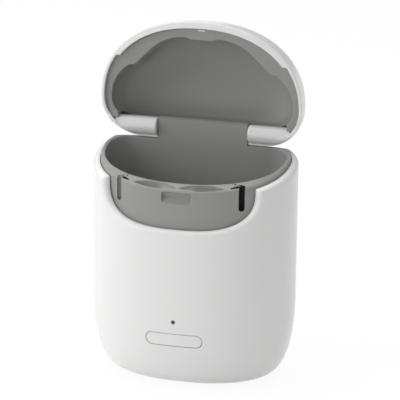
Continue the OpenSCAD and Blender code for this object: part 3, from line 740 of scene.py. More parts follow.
def solder_mask(tone):
    """Green coating of a circuit board."""
    finish = Finish("board green")
    grain = finish.noise(900.0, 3.0, 0.5)
    return finish.surface(
        Base_Color=finish.tones(grain, scaled(tone, 0.8), scaled(tone, 1.25)),
        Roughness=0.28 + grain * 0.15,
        Normal=finish.bump(grain, 0.1, 0.00002),
    )


def plain_metal(name, tone, rough, stretch):
    """Metal with faint lines along one way."""
    finish = Finish(name)
    lines = finish.noise(600.0, 3.0, 0.6, stretch)
    return finish.surface(
        Base_Color=finish.tones(lines, scaled(tone, 0.88), scaled(tone, 1.08)),
        Metallic=1.0,
        Roughness=rough + lines * 0.14,
        Normal=finish.bump(lines, 0.08, 0.00002),
    )


def black_plastic(tone, name="black plastic", rough=0.42):
    """Dark plastic with a fine grain."""
    finish = Finish(name)
    grain = finish.noise(2400.0, 3.0, 0.6)
    return finish.surface(
        Base_Color=finish.tones(grain, scaled(tone, 0.8), scaled(tone, 1.3)),
        Roughness=rough + grain * 0.15,
        Normal=finish.bump(grain, 0.12, 0.00002),
    )


def smoked_clear(tone):
    """Smoked plastic of the lamp and its pipe."""
    finish = Finish("smoked pipe")
    haze = finish.noise(1500.0, 2.0, 0.5)
    return finish.surface(
        Base_Color=finish.tones(haze, scaled(tone, 0.85), scaled(tone, 1.2)),
        Roughness=0.12 + haze * 0.06,
        Coat_Weight=0.5,
    )


FINISHES = {}


def named_finish(name):
    """A finish by name, made once."""
    if name not in FINISHES:
        c = bpy.context.scene.case_colours
        makers = {
            "white_shell": lambda: gloss_white(tuple(c.shell)),
            "grey_liner": lambda: matte_grey(tuple(c.lining)),
            "foot": lambda: soft_rubber(tuple(c.rubber)),
            "pad": lambda: soft_rubber(scaled(tuple(c.rubber), 0.6)),
            "board": lambda: solder_mask(tuple(c.board)),
            # Painted shade: a near-black matt finish that stands in for the shade inside the right wire slot
            # and the slits.
            "slot": lambda: black_plastic(scaled(tuple(c.black), 0.5), "painted slot shade", 0.8),
            "chassis": lambda: black_plastic(tuple(c.black)),
            "switch": lambda: black_plastic(tuple(c.black)),
            "steel": lambda: plain_metal("plain steel", tuple(c.steel), 0.24, (1.0, 1.0, 12.0)),
            "contact": lambda: plain_metal("gold plate", tuple(c.gold), 0.2, (1.0, 1.0, 1.0)),
            "cell": lambda: plain_metal("foil wrap", tuple(c.foil), 0.34, (1.0, 1.0, 1.0)),
            "lamp": lambda: smoked_clear((0.6, 0.6, 0.58)),
            "light_pipe": lambda: smoked_clear(tuple(c.smoke)),
        }
        FINISHES[name] = makers[name]()
    return FINISHES[name]


# Pieces

def wall_depth(normal, side, front, back):
    """Wall thickness round an outline, from its thickness at the sides, front and back."""
    across = normal[:, 0] ** 2
    return side * across + np.where(normal[:, 1] < 0.0, front, back) * (1.0 - across)


def on_wall(outline, run, z, depth):
    """Points on the unrolled wall, set in from its outer face by a depth."""
    spot = outline.point(run) - outline.normal(run) * np.broadcast_to(depth, len(run))[:, None]
    return at_height(spot, z)


def edge_rows(outline, run, z, out, depth, outer, inner, steps=6):
    """Rows over a wall's rounded edge, from the outer face to the inner. Out points off the edge."""
    along, rise = out
    rows = []
    for a in quarter(steps + 1):
        back = outer * (1.0 - math.sin(a))
        rows.append(on_wall(outline, run - along * back, z - rise * back, outer * (1.0 - math.cos(a))))
    for a in quarter(steps + 1):
        back = inner * (1.0 - math.cos(a))
        inset = depth - inner * (1.0 - math.sin(a))
        rows.append(on_wall(outline, run - along * back, z - rise * back, inset))
    return rows


SHELL_COLUMNS = 520
BOTTOM_ROWS = 27
BARREL_SIDES = 96


def body_rows(f, count=SHELL_COLUMNS):
    """Rows of the body shell: foot recess, rounded bottom, outer wall, rim, inner wall and floor."""
    outline = case_outline(f)

    def height(y):
        return np.minimum(f.rim_z + f.rim_slope * y, back_line(f, y, f.rear_gap))

    run, z = edge_with_scoop(outline, f, height)
    run, z = soft_edge(run, z, outline.total, count, f.corner_r)
    out = [blurred(part, 6) for part in edge_frame(run, z, outline.total)]
    out /= np.hypot(*out)
    low_run = np.linspace(0.0, outline.total, count, endpoint=False) + run[0]
    turn = outline.turn_at(low_run)
    top = f.base_z + f.bottom_h

    def level(low, a, inset=(0.0, 0.0, 0.0)):
        here = low + (top - low) * (1.0 - math.cos(a))
        return at_height(outline.at_turn(turn, body_size(f, here, *inset)), here)

    margin = f.foot_margin - f.foot_gap
    foot = outline.at_turn(turn, body_size(f, f.base_z, margin, margin, margin))
    rows = [at_height(foot, f.foot_t + f.foot_air), at_height(foot, f.base_z)]
    rows += [level(f.base_z, a) for a in quarter(BOTTOM_ROWS)[:-1]]
    depth = wall_depth(outline.normal(run), f.side_wall, f.front_wall, f.back_wall)
    outer, inner = np.minimum(f.rim_round, depth - f.edge_r), 0.5 * f.edge_r

    def wall(share, radius, inset):
        edge_run, edge_z = run - out[0] * radius, z - out[1] * radius
        return on_wall(outline, low_run + (edge_run - low_run) * share, top + (edge_z - top) * share, inset)

    rows += [wall(share, outer, 0.0) for share in np.linspace(0.0, 1.0, 12)[:-1]]
    rows += edge_rows(outline, run, z, out, depth, outer, inner)
    rows += [wall(share, inner, depth) for share in np.linspace(1.0, 0.0, 8)[1:]]
    inset = (f.side_wall, f.front_wall, f.back_wall)
    rows += [level(f.base_z + f.floor_t, a, inset) for a in quarter(11)[-2::-1]]
    return rows


def solid_body(f, count=SHELL_COLUMNS):
    """The body's outer form, filled and cut off level, as a tool."""
    outline = case_outline(f)
    turn = outline.turn_at(np.linspace(0.0, outline.total, count, endpoint=False))
    heights = [f.base_z + f.bottom_h * (1.0 - math.cos(a)) for a in quarter(BOTTOM_ROWS)]
    heights.append(f.base_z + 2.0 * f.bottom_h)
    return skin([at_height(outline.at_turn(turn, body_size(f, z)), z) for z in heights])


def pill(half_l, half_h, z, near, deep):
    """A bar with round ends, lying along X and running from front to back."""
    points = []
    for sx in (1.0, -1.0):
        for a in np.linspace(-math.pi / 2.0, math.pi / 2.0, 25):
            x = sx * (half_l - half_h + half_h * math.cos(a))
            points.append((x, near, z + sx * half_h * math.sin(a)))
    return slab(points, (0.0, deep - near, 0.0))


def make_body():
    """The body shell, with the openings for the button, the lamp and the socket."""
    f, b = form(), button()
    shell = rest_object("body_shell_skin", skin(body_rows(f)))
    gap = b.button_gap
    cut(
        shell,
        pill(b.button_l / 2.0 + gap, b.button_h / 2.0 + gap, b.button_z, -FAR, -b.opening_y),
        rod(b.lamp_r, (0.0, -FAR, b.lamp_z), (0.0, -b.opening_y, b.lamp_z), 40),
        pill(b.socket_w / 2.0, b.socket_h / 2.0, b.socket_z, f.hinge_y, FAR),
    )
    shade(shell)
    settle(shell, "case", "white_shell", "body_shell")


def make_button():
    """The button's face, which follows the body's front, and its stem."""
    f, b = form(), button()
    inner = b.button_t - f.front_depth
    bar = pill(b.button_l / 2.0, b.button_h / 2.0, b.button_z, -FAR, inner)
    face = rest_object("power_button_skin", bar)
    combine(face, solid_body(f), "INTERSECT")
    stem = rod(b.stem_r, (0.0, -b.stem_y, b.button_z), (0.0, inner - b.stem_in, b.button_z), 40)
    combine(face, stem, "UNION")
    shade(face)
    round_edges(face, b.button_r)
    settle(face, "button", "white_shell", "power_button")


def lid_depth(f, outline, run):
    """Wall thickness round the lid, which steps up at the skirt."""
    normal = outline.normal(run)
    plain = wall_depth(normal, f.lid_wall, f.lid_wall, f.lid_back)
    thick = wall_depth(normal, f.half_width - f.skirt_side, f.skirt_wall, f.lid_back)
    spot = outline.point(run) - normal * thick[:, None]
    share = eased((f.skirt_half - np.abs(spot[:, 0])) / f.skirt_step + 0.5)
    return plain + (thick - plain) * np.where(spot[:, 1] < -f.skirt_end, share, 0.0)


def crown_rows(f, outline, turn, side, back, top, start=0.0, steps=24):
    """Rows of a crown to its flat top, from a share of its height that can differ round the outline."""
    low = f.case_h - f.crown_h
    rows = []
    for a in quarter(steps + 1):
        share = start + (1.0 - start) * math.sin(a)
        plan = outline.at_turn(turn, crown_size(f, share, side, back))
        rows.append(at_height(plan, low + (top - low) * share))
    return rows


def lid_inset(f, outline, run, z):
    """How far the crown has drawn in at points of the lid's outer wall."""
    across = outline.normal(run)[:, 0] ** 2
    rear = outline.normal(run)[:, 1] > 0.0
    share = np.clip((z - f.case_h + f.crown_h) / f.crown_h, 0.0, 1.0)
    round_in = f.crown_round * across + np.where(rear, f.crown_back, f.crown_round) * (1.0 - across)
    return round_in * drawn_in(share, f.crown_fullness)


def lid_rows(f, count=SHELL_COLUMNS):
    """Rows of the shut lid: crown, outer wall, lower edge, inner wall and inner crown."""
    outline = case_outline(f)
    heel = f.heel_y + f.heel_l
    marks_y = [-f.front_depth, f.heel_y, heel]
    marks_z = [f.rim_z + f.seam + f.rim_slope * y for y in marks_y[:2]] + [back_line(f, heel, f.heel_gap)]
    run = np.linspace(0.0, outline.total, 2400)
    z = np.interp(outline.point(run)[:, 1], marks_y, marks_z)
    run, z = soft_edge(run, z, outline.total, count, f.corner_r)
    up = edge_frame(run, z, outline.total)
    out = (-up[0], -up[1])
    low, inner_top = f.case_h - f.crown_h, f.case_h - f.lid_top
    high = np.maximum(low, z + f.corner_r)
    even = np.linspace(0.0, outline.total, count, endpoint=False)
    high_run = even + blurred(run - even, 10)
    turn = outline.turn_at(high_run)
    edge_run, edge_z = run - out[0] * f.edge_r, z - out[1] * f.edge_r

    def wall(share, thick):
        here, level = high_run + (edge_run - high_run) * share, high + (edge_z - high) * share
        depth = lid_inset(f, outline, here, level)
        return on_wall(outline, here, level, depth + lid_depth(f, outline, here) if thick else depth)

    rows = crown_rows(f, outline, turn, 0.0, 0.0, f.case_h, (high - low) / (f.case_h - low))[::-1]
    rows += [wall(share, False) for share in np.linspace(0.0, 1.0, 9)[1:-1]]
    inset = lid_inset(f, outline, run, z)
    for row in edge_rows(outline, run, z, out, lid_depth(f, outline, run), f.edge_r, 0.5 * f.edge_r):
        row[:, :2] -= outline.normal(run) * inset[:, None]
        rows.append(row)
    rows += [wall(share, True) for share in np.linspace(1.0, 0.0, 7)[1:-1]]
    rows += crown_rows(
        f, outline, turn, f.lid_wall, f.lid_back, inner_top, (high - low) / (inner_top - low), 12)
    return rows


def soft_least(first, second, blend):
    """The smaller of two rows of values, rounded over where they cross."""
    near = np.maximum(blend - np.abs(first - second), 0.0) / blend
    return np.minimum(first, second) - near * near * blend / 4.0


def hinge_rod(f, radius, half, segments=BARREL_SIDES):
    """A round bar along the hinge line."""
    return rod(radius, (-half, f.hinge_y, f.hinge_z), (half, f.hinge_y, f.hinge_z), segments)


def knuckle(f, sx):
    """One of the lid's barrels: round at its inner end, inside the lid's back corner at its outer end."""
    start, end = f.barrel_half + f.knuckle_gap, f.knuckle_end + f.lid_wall
    turn = np.linspace(0.0, 2.0 * np.pi, BARREL_SIDES, endpoint=False)
    spots = [(start + f.edge_r * (1.0 - math.cos(a)), f.barrel_r - f.edge_r * (1.0 - math.sin(a)))
             for a in quarter(6)]
    spots += [(x, f.barrel_r) for x in np.linspace(start + f.edge_r, end, 24)[1:]]
    flat = f.hinge_y - f.knuckle_flat
    rows = []
    for x, radius in spots:
        corner = max(0.0, x - f.half_width + f.back_depth)
        rear = math.sqrt(f.back_depth ** 2 - corner ** 2) - 0.5 * f.lid_wall
        y = np.minimum(f.hinge_y + radius * np.cos(turn), rear)
        y = -soft_least(-y, -flat, f.knuckle_soft)
        rows.append(np.column_stack([np.full(BARREL_SIDES, sx * x), y, f.hinge_z + radius * np.sin(turn)]))
    return skin(rows)


def make_lid():
    """The lid shell with its barrels, made shut and swung open."""
    f, g = form(), lining()
    lid = rest_object("lid_shell_skin", skin(lid_rows(f)))
    cut(lid, block((-FAR, f.hinge_y, 0.0), (FAR, FAR, f.hinge_z - f.lid_cut)))
    for sx in (-1.0, 1.0):
        combine(lid, knuckle(f, sx), "UNION")
    inner = f.barrel_half + f.knuckle_gap
    lean = f.open_angle - math.pi / 2.0
    notch = (f.hinge_z + (g.tray_rear - f.hinge_y) / math.cos(lean)
             + (f.back_depth - f.hinge_y) * math.tan(lean) + f.seam)
    cut(
        lid,
        hinge_rod(f, f.barrel_r + f.knuckle_gap, inner),
        block((-inner, f.hinge_y, 0.0), (inner, FAR, notch)),
        hinge_rod(f, f.pin_r + f.pin_play, f.pin_half + f.pin_room, 32),
    )
    shade(lid)
    settle(lid, "lid", "white_shell", "lid_shell", lid_swing(f))


def hollow_outline(f, g, count=420):
    """Soft outline of the lid's hollow: stepped sides, slanted shoulders and a finger tab."""
    sides = Outline(g.hollow_half, g.hollow_side, g.hollow_back, f.front_fullness)
    turns = np.concatenate([np.linspace(2.5, 1.0, 120), np.linspace(1.0, 0.5, 400)])
    arc = sides.at_turn(turns, sides.size)
    half = arc[arc[:, 1] > -g.hollow_step]
    corner = g.hollow_shoulder - (g.hollow_front - g.hollow_step)
    turn = g.hollow_round * math.tan(math.pi / 8.0)
    r = g.hollow_round
    bend = [(corner - turn + r * math.sin(a), r * (1.0 - math.cos(a)) - g.hollow_front)
            for a in np.linspace(math.pi / 4.0, 0.0, 12)]
    tab = g.tab_reach - g.hollow_front
    tab_side = [(g.tab_half + g.tab_slant, -g.hollow_front), (g.tab_half, tab), (0.0, tab)]
    right = np.array([*map(tuple, half), (g.hollow_shoulder, -g.hollow_step), *bend, *tab_side])
    left = right[::-1] * (-1.0, 1.0)
    path = np.concatenate([right, left[1:]])
    step = np.concatenate([[0.0], np.cumsum(np.hypot(*np.diff(path, axis=0).T))])
    fine = 4
    way = np.linspace(0.0, step[-1], fine * count, endpoint=False)
    reach = max(1, int(g.hollow_soft / (step[-1] / (fine * count))))
    soft = [blurred(np.interp(way, step, values), reach) for values in path.T]
    return np.column_stack(soft)[::fine]


def hollow_form(f, g):
    """The lid's hollow as a tool: straight walls that turn softly into the crown."""
    middle = np.array([0.0, -g.hollow_middle])
    arms = hollow_outline(f, g) - middle
    reach = np.linalg.norm(arms, axis=1)
    angle = np.arctan2(arms[:, 1], arms[:, 0])
    outline = case_outline(f)
    turn = np.linspace(0.0, 4.0, 2000, endpoint=False)
    side, back = f.lid_wall + g.liner_roof, f.lid_back + g.liner_roof
    low, top = f.case_h - f.crown_h, f.case_h - f.lid_top - g.liner_roof

    def level(share, z, blend):
        crown = outline.at_turn(turn, crown_size(f, share, side, back)) - middle
        way = np.arctan2(crown[:, 1], crown[:, 0])
        order = np.argsort(way)
        limit = np.interp(angle, way[order], np.linalg.norm(crown, axis=1)[order], period=2.0 * np.pi)
        size = soft_least(reach, limit, blend)
        return at_height(middle + arms * (size / reach)[:, None], z)

    flange = g.tray_rim + g.lip
    out = arms / reach[:, None]

    def flared(a):
        spot = middle + arms + out * g.hollow_flare * (1.0 - math.sin(a))
        return at_height(spot, flange + f.rim_slope * spot[:, 1] + g.hollow_flare * (1.0 - math.cos(a)))

    mouth = [flared(a) for a in quarter(7, FLARE_START)]
    rows = [mouth[0] - (0.0, 0.0, PAST), *mouth]
    least = 0.02
    for k, a in enumerate(quarter(41), 1):
        share = math.sin(a)
        z = np.maximum(low + (top - low) * share, mouth[-1][:, 2] + least * k)
        rows.append(level(share, z, least / 2.0 + g.hollow_blend * min(1.0, 2.0 * share)))
    return skin(rows)


def make_liner():
    """The lining of the lid, made shut and swung open."""
    f, g = form(), lining()
    outline = case_outline(f)
    run = np.linspace(0.0, outline.total, 420, endpoint=False)
    turn = outline.turn_at(run)
    depth = lid_depth(f, outline, run) + g.fit
    low = f.case_h - f.crown_h
    rows = []
    for a in quarter(5):
        foot = on_wall(outline, run, 0.0, depth + g.flange_r * (1.0 - math.sin(a)))
        foot[:, 2] = g.tray_rim + g.lip + f.rim_slope * foot[:, 1] + g.flange_r * (1.0 - math.cos(a))
        rows.append(foot)
    rows.append(at_height(foot[:, :2], low))
    top = f.case_h - f.lid_top - g.fit
    rows += crown_rows(f, outline, turn, f.lid_wall + g.fit, f.lid_back + g.fit, top, 0.0, 16)
    liner = rest_object("lid_liner_skin", skin(rows))
    wing = f.knuckle_end + g.wing_gap
    cut(
        liner,
        hollow_form(f, g),
        block((-wing, g.liner_rear, 0.0), (wing, FAR, f.hinge_z)),
        block((-FAR, g.wing_back, 0.0), (FAR, FAR, f.hinge_z)),
        block((-FAR, g.hollow_back + g.liner_back, 0.0), (FAR, FAR, f.case_h + FAR)),
        hinge_rod(f, f.barrel_r + f.knuckle_gap, wing),
    )
    near = f.bump_reach + f.skirt_wall - f.front_depth - f.bump_t / 2.0
    low = g.tray_rim + g.lip + f.rim_slope * near - f.bump_t / 2.0
    bump = block((-f.bump_half, near, low), (f.bump_half, near + f.bump_t, g.tray_rim))
    combine(liner, bump, "UNION")
    shade(liner)
    swing = lid_swing(f)
    settle(liner, "lid", "grey_liner", "lid_liner", swing)
    # The bump's white also stands in for a painted highlight on its edge.
    whiten_bump_as_highlight(liner, f, swing.inverted(), near + f.bump_t / 2.0, low + f.bump_t / 3.0)


def whiten_bump_as_highlight(liner, f, shut, middle, top):
    """Gives the bump on the lining the shell's white, which also works as a painted highlight: it makes the
    bump read as a light dash.
    """
    liner.data.materials.append(named_finish("white_shell"))
    for face in liner.data.polygons:
        x, y, z = shut @ (face.center / MM)
        if abs(x) < f.bump_half + TOUCH and abs(y - middle) < f.bump_t and z < top:
            face.material_index = 1


def tray_columns(f, g, outer, count):
    """Places of the tray's columns, doubled at the hinge web's sides, and which of them are the web's."""
    even = outer.turn_at(np.linspace(0.0, outer.total, count, endpoint=False))
    side = f.barrel_half / (2.0 * (g.tray_half - g.tray_rear))
    right, left = 2.5 - side, 2.5 + side
    least = 0.006
    even = even[np.minimum(np.abs(even - right), np.abs(even - left)) > least]
    turn = np.concatenate([even, [right, right, left, left]])
    web = np.concatenate([(even > right) & (even < left), [False, True, True, False]])
    order = np.argsort(turn, kind="stable")
    return turn[order], web[order]


def web_arc(f, g, count):
    """Side view of the middle barrel, from the web's rear over the top to its front."""
    start = -math.acos((g.tray_rear - f.hinge_y) / f.barrel_r)
    end = math.acos((g.cavity_back - f.hinge_y) / f.barrel_r)
    return [(f.hinge_y + f.barrel_r * math.cos(a), f.hinge_z + f.barrel_r * math.sin(a))
            for a in np.linspace(start, end, count)]


def tray_rows(f, g, count=560):
    """Rows of the tray: underside, outer wall, rounded rim or hinge web, well and its floor."""
    outer = Outline(g.tray_half, g.tray_front, g.tray_rear, f.front_fullness)
    turn, web = tray_columns(f, g, outer, count)
    near = outer.at_turn(turn, outer.size)
    far = outer.at_turn(turn, (g.cavity_half, g.cavity_front, g.cavity_back))
    start, end = f.barrel_half + g.web_ease, g.tray_half - g.tray_rear
    lag = np.clip((np.abs(near[:, 0]) - start) / (end - start), 0.0, 1.0)
    back = (turn > 2.0) & (turn < 3.0)
    far[:, 0] = np.where(back, near[:, 0] + (far[:, 0] - near[:, 0]) * lag * lag, far[:, 0])
    across = far - near
    width = np.linalg.norm(across, axis=1, keepdims=True)
    across /= width

    slant = outer.at_turn(turn, (g.tray_half, g.tray_front - g.rim_slant, g.tray_rear))
    slant = np.linalg.norm(slant - near, axis=1, keepdims=True)
    fall = g.rim_fall * np.clip(slant / (0.5 * g.rim_slant), 0.0, 1.0) ** 2

    def height(points, depth):
        y = points[:, 1]
        level = np.minimum(g.tray_rim + f.rim_slope * y, back_line(f, y, g.back_gap))
        return level - (fall * np.clip(1.0 - depth / np.maximum(slant, 0.1), 0.0, 1.0))[:, 0]

    def rim(depth, drop):
        spot = near + across * depth
        return at_height(spot, height(spot, depth) - drop)

    bend = quarter(7)
    over = [rim(g.rim_r * (1.0 - math.cos(a)), g.rim_r * (1.0 - math.sin(a))) for a in bend]
    over += [rim(g.rim_r + (width - 2.0 * g.rim_r) * share, 0.0) for share in (0.3, 0.6, 0.85)]
    over += [rim(width - g.rim_r * (1.0 - math.sin(a)), g.rim_r * (1.0 - math.cos(a))) for a in bend]
    for row, (y, z) in zip(over[1:-1], web_arc(f, g, len(over) - 2)):
        row[web, 1:] = y, z
    rows = [at_height(near, g.tray_z), rim(0.0, g.rim_band), *over, rim(width, g.rim_band)]
    for a in bend:
        inset = g.floor_r * (1.0 - math.cos(a))
        rows.append(at_height(far + across * inset, g.cavity_z + g.floor_r * (1.0 - math.sin(a))))
    return rows


def front_at(f, x, half, front):
    """Depth of a front curve at x."""
    return front * (1.0 - np.minimum(1.0, np.abs(x) / half) ** f.front_fullness) ** (1.0 / f.front_fullness)


def face_at(f, g, x):
    """Depth of the tray's front face at x."""
    return front_at(f, x, g.tray_half, g.tray_front)


def rim_height(f, g, x, y):
    """Height of the tray's front rim at a place."""
    face = face_at(f, g, x)
    slant = g.rim_slant * face / g.tray_front
    return g.tray_rim + f.rim_slope * y - g.rim_fall * np.clip(1.0 - (y + face) / slant, 0.0, 1.0)


def lens(f, g, sx):
    """A lens-shaped hollow in the tray's front rim, flared at its edge, shallow above the finger recess."""
    long, wide = g.well_l, g.well_w
    radius = (long * long + wide * wide) / (4.0 * wide)
    reach = math.asin(long / 2.0 / radius)
    a = np.linspace(reach, -reach, 40, endpoint=False)
    arc = np.column_stack([radius * np.sin(a), radius * np.cos(a) - radius + wide / 2.0])
    points = np.concatenate([arc, -arc])
    x0 = g.well_bridge / 2.0 + long / 2.0 * math.cos(g.well_turn)
    y0 = -(face_at(f, g, x0) + front_at(f, x0, g.cavity_half, g.cavity_front)) / 2.0
    turn = np.array(Matrix.Rotation(sx * g.well_turn, 2))

    def row(size, grow, drop, share):
        spot = (points * size * (1.0 + 2.0 * grow / np.array([long, wide]))) @ turn.T + (sx * x0, y0)
        way = eased((np.abs(spot[:, 0]) - g.grip_half + g.well_margin) / g.well_ease)
        deep = g.well_low + (g.well_d - g.well_low) * way
        return at_height(spot, rim_height(f, g, *spot.T) - drop - deep * share)

    r = g.well_flare
    mouth = [row(1.0, r * (1.0 - math.sin(b)), r * (1.0 - math.cos(b)), 0.0) for b in quarter(6, FLARE_START)]
    bowl = [row(math.cos(b), 0.0, r, math.sin(b)) for b in np.linspace(0.0, math.radians(84.0), 9)[1:]]
    return skin([mouth[0] + (0.0, 0.0, PAST), *mouth, *bowl])


def wire_slot(f, g, sx):
    """A round-bottomed slot down the tray's front."""
    y = g.slot_in - face_at(f, g, g.slot_x)
    r = g.slot_w / 2.0
    points = [(sx * g.slot_x + r * math.cos(a), y, g.slot_z + r + r * math.sin(a))
              for a in np.linspace(math.pi, 2.0 * math.pi, 20)]
    points += [(sx * g.slot_x + side * r, y, g.tray_rim + FAR) for side in (1.0, -1.0)]
    return slab(points, (0.0, -FAR, 0.0))


def rim_slit(f, g, sx):
    """A narrow slit behind the tray's front face, beside a wire slot."""
    wall = face_at(f, g, g.slot_x)
    low = g.tray_rim - f.rim_slope * wall - g.slit_d
    turn = Matrix.Rotation(sx * g.slit_turn, 2)
    spots = [turn @ Vector((-sx * a, b)) + Vector((sx * g.slot_x, g.slit_lip - wall))
             for a, b in ((0.0, 0.0), (g.slit_l, 0.0), (g.slit_l, g.slit_end), (0.0, g.slit_w))]
    return slab([(spot.x, spot.y, low) for spot in spots], (0.0, 0.0, FAR))


def dimple(f, g, x, side):
    """One of the two marker dimples in the rim beside a wire slot."""
    y = g.dimple_back - face_at(f, g, x)
    z = g.tray_rim + f.rim_slope * y
    x += side * g.dimple_gap
    return rod(g.dimple_r, (x, y, z - g.dimple_d), (x, y, z + PAST), 24)


def grip_recess(f, g):
    """The finger recess below the shut lid's front edge, flared at the face, with a ramp below."""
    turn = np.linspace(0.0, 2.0 * np.pi, 64, endpoint=False)
    cos, sin = np.cos(turn), np.sin(turn)
    top, r = g.grip_z + g.grip_h, g.grip_flare

    def section(depth, out):
        share = min(1.0, max(0.0, depth - r) / (g.grip_in - r))
        low = g.grip_z + g.grip_ramp * share
        corner = g.grip_r + out
        half_w, half_h = g.grip_half + out - corner, (top - low) / 2.0 + out - corner
        x = np.sign(cos) * half_w + corner * cos
        z = (top + low) / 2.0 + np.sign(sin) * half_h + corner * sin
        return np.column_stack([x, depth - face_at(f, g, x), z])

    flare = [(r * (1.0 - math.cos(a)), r * (1.0 - math.sin(a))) for a in quarter(7, FLARE_START)]
    floor = [(g.grip_in - r * (1.0 - math.sin(a)), -r * (1.0 - math.cos(a))) for a in quarter(7)]
    return skin([section(depth, out) for depth, out in [(-PAST, flare[0][1]), *flare, *floor]])


def paint_slot_shade(tray, f, g):
    """Paints shade into the right wire slot and both slits: a near-black matt finish on their inner faces
    stands in for the shade inside them.
    """
    # Painted shade for the slot and slit faces that the mask below picks.
    tray.data.materials.append(named_finish("slot"))
    edge = g.slot_w / 2.0 + TOUCH
    lip_y = g.slit_lip - face_at(f, g, g.slot_x)
    slack, upright = 0.1, 0.5
    for face in tray.data.polygons:
        x, y, z = face.center / MM
        off = g.slot_x - abs(x)
        behind = y + face_at(f, g, x)
        lip = y - lip_y + off * math.tan(g.slit_turn)
        low = g.tray_rim + f.rim_slope * y - g.slit_d - slack
        in_slot = x > 0.0 and abs(off) < edge and slack < behind < g.slot_in + slack and z > g.slot_z
        in_slit = edge < off < g.slit_l and -TOUCH < lip < g.slit_w + slack and z > low
        if (in_slot or in_slit) and (abs(face.normal.z) < upright or z < low + 1.0):
            face.material_index = 1


def make_tray():
    """The tray with the cuts in its front and rim."""
    f, g = form(), lining()
    bm = skin(tray_rows(f, g))
    bmesh.ops.remove_doubles(bm, verts=bm.verts, dist=1e-4)
    tray = rest_object("tray_skin", bm)
    for sx in (-1.0, 1.0):
        cut(tray, lens(f, g, sx), wire_slot(f, g, sx), rim_slit(f, g, sx))
        cut(tray, *(dimple(f, g, sx * (g.slot_x - g.dimple_in), side) for side in (-0.5, 0.5)))
    cut(tray, grip_recess(f, g))
    shade(tray)
    settle(tray, "case", "grey_liner", "tray")
    # Paints shade into the right wire slot and the slits.
    paint_slot_shade(tray, f, g)


# Finish and edge rounding, in millimetres, of the pieces that are shown as they are
SMALL_PARTS = {
    "foot_pad": ("foot", 0.3), "chassis": ("chassis", 0.3), "battery_cell": ("cell", 1.2),
    "battery_pad": ("pad", 0.4), "main_board": ("board", 0.1), "usb_socket": ("steel", 0.1),
    "button_board": ("board", 0.1), "tact_switch": ("switch", 0.2), "status_led": ("lamp", 0.15),
    "light_pipe": ("light_pipe", 0.08), "seat_insert": ("grey_liner", 0.35), "contact_board": ("board", 0.08),
    "contacts_left": ("contact", 0.25), "contacts_right": ("contact", 0.25), "hinge_pin": ("steel", 0.15),
    "tray_screws": ("steel", 0.2), "base_screws": ("steel", 0.2), "lid_magnet": ("steel", 0.2),
    "switch_plunger": ("switch", 0.2),
}


def dress_small_parts():
    """Finishes and edge rounding for the pieces that are shown as they are."""
    for name, (slot, width) in SMALL_PARTS.items():
        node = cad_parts[name]
        node.data.materials.clear()
        node.data.materials.append(named_finish(slot))
        weld = node.modifiers.new("weld", "WELD")
        weld.merge_threshold = 1e-6
        round_edges(node, width)


# Stage

FLOOR_TONE = (0.9, 0.9, 0.9, 1.0)
FLOOR_GLOW = 1.02
FLOOR_SHARE = 0.9
FLOOR_SIZE = 4.0
AMBIENT = 0.328
WHITE = (1.0, 1.0, 1.0, 1.0)
AIM = (0.0, 0.0, 0.06)
# Place in metres, width and height, and power of each light
LIGHTS = {
    "key": ((-0.75, -0.55, 0.55), (0.7, 0.9), 3.5),
    "left": ((-0.95, -0.1, 0.35), (0.7, 0.9), 2.4),
    "back": ((-0.6, 0.5, 0.7), (0.6, 0.6), 0.85),
    "low": ((0.0, -1.0, 0.2), (0.9, 0.5), 0.7),
    "top": ((0.0, 0.1, 0.95), (0.8, 0.8), 4.8),
}
CAMERA = {"azimuth": 14.983, "elevation": 17.611, "roll": 0.647, "distance": 0.920932,
          "target": (0.001469, 0.0, 0.06258), "lens": 231.642, "sensor": 36.0, "near": 0.01}


def floor_finish():
    """Pale floor that the camera sees as white, with the object's shadow kept."""
    made = Finish("pale floor")
    seen = made.ray("Camera").largest(made.ray("Glossy"))
    matt = made.node("ShaderNodeBsdfDiffuse", {}, {"Color": FLOOR_TONE})
    glow = made.node("ShaderNodeEmission", {}, {"Color": WHITE, "Strength": FLOOR_GLOW})
    both = made.node("ShaderNodeMixShader", {}, [seen * FLOOR_SHARE, matt, glow])
    made.node("ShaderNodeOutputMaterial", {}, {"Surface": both})
    return made.material


def studio_world():
    """White to the camera, and a soft even light on the object."""
    world = bpy.data.worlds.new("studio")
    bpy.context.scene.world = world
    made = Nodes(world)
    seen = made.ray("Camera").largest(made.ray("Transmission"))
    strength = AMBIENT + seen * (1.0 - AMBIENT)
    sky = made.node("ShaderNodeBackground", {}, {"Color": WHITE, "Strength": strength})
    made.node("ShaderNodeOutputWorld", {}, {"Surface": sky})


def area_light(name, place, size, power):
    """A soft rectangular light, aimed at the object."""
    data = bpy.data.lights.new(name, "AREA")
    data.shape = "RECTANGLE"
    data.size, data.size_y = size
    data.energy = power
    lamp = linked(name, data)
    lamp.location = place
    lamp.rotation_euler = (Vector(AIM) - Vector(place)).to_track_quat("-Z", "Y").to_euler()


def place_camera():
    """The photograph's viewpoint."""
    az, el, roll = (math.radians(CAMERA[key]) for key in ("azimuth", "elevation", "roll"))
    back = Vector((math.sin(az) * math.cos(el), -math.cos(az) * math.cos(el), math.sin(el)))
    level = Vector((math.cos(az), math.sin(az), 0.0))
    rise = back.cross(level)
    right = level * math.cos(roll) + rise * math.sin(roll)
    data = bpy.data.cameras.new("camera")
    data.sensor_fit = "HORIZONTAL"
    data.sensor_width = CAMERA["sensor"]
    data.lens = CAMERA["lens"]
    data.clip_start = CAMERA["near"]
    camera = linked("camera", data)
    turn = Matrix((right, back.cross(right), back)).transposed().to_4x4()
    camera.matrix_world = Matrix.Translation(Vector(CAMERA["target"]) + back * CAMERA["distance"]) @ turn
    bpy.context.scene.camera = camera


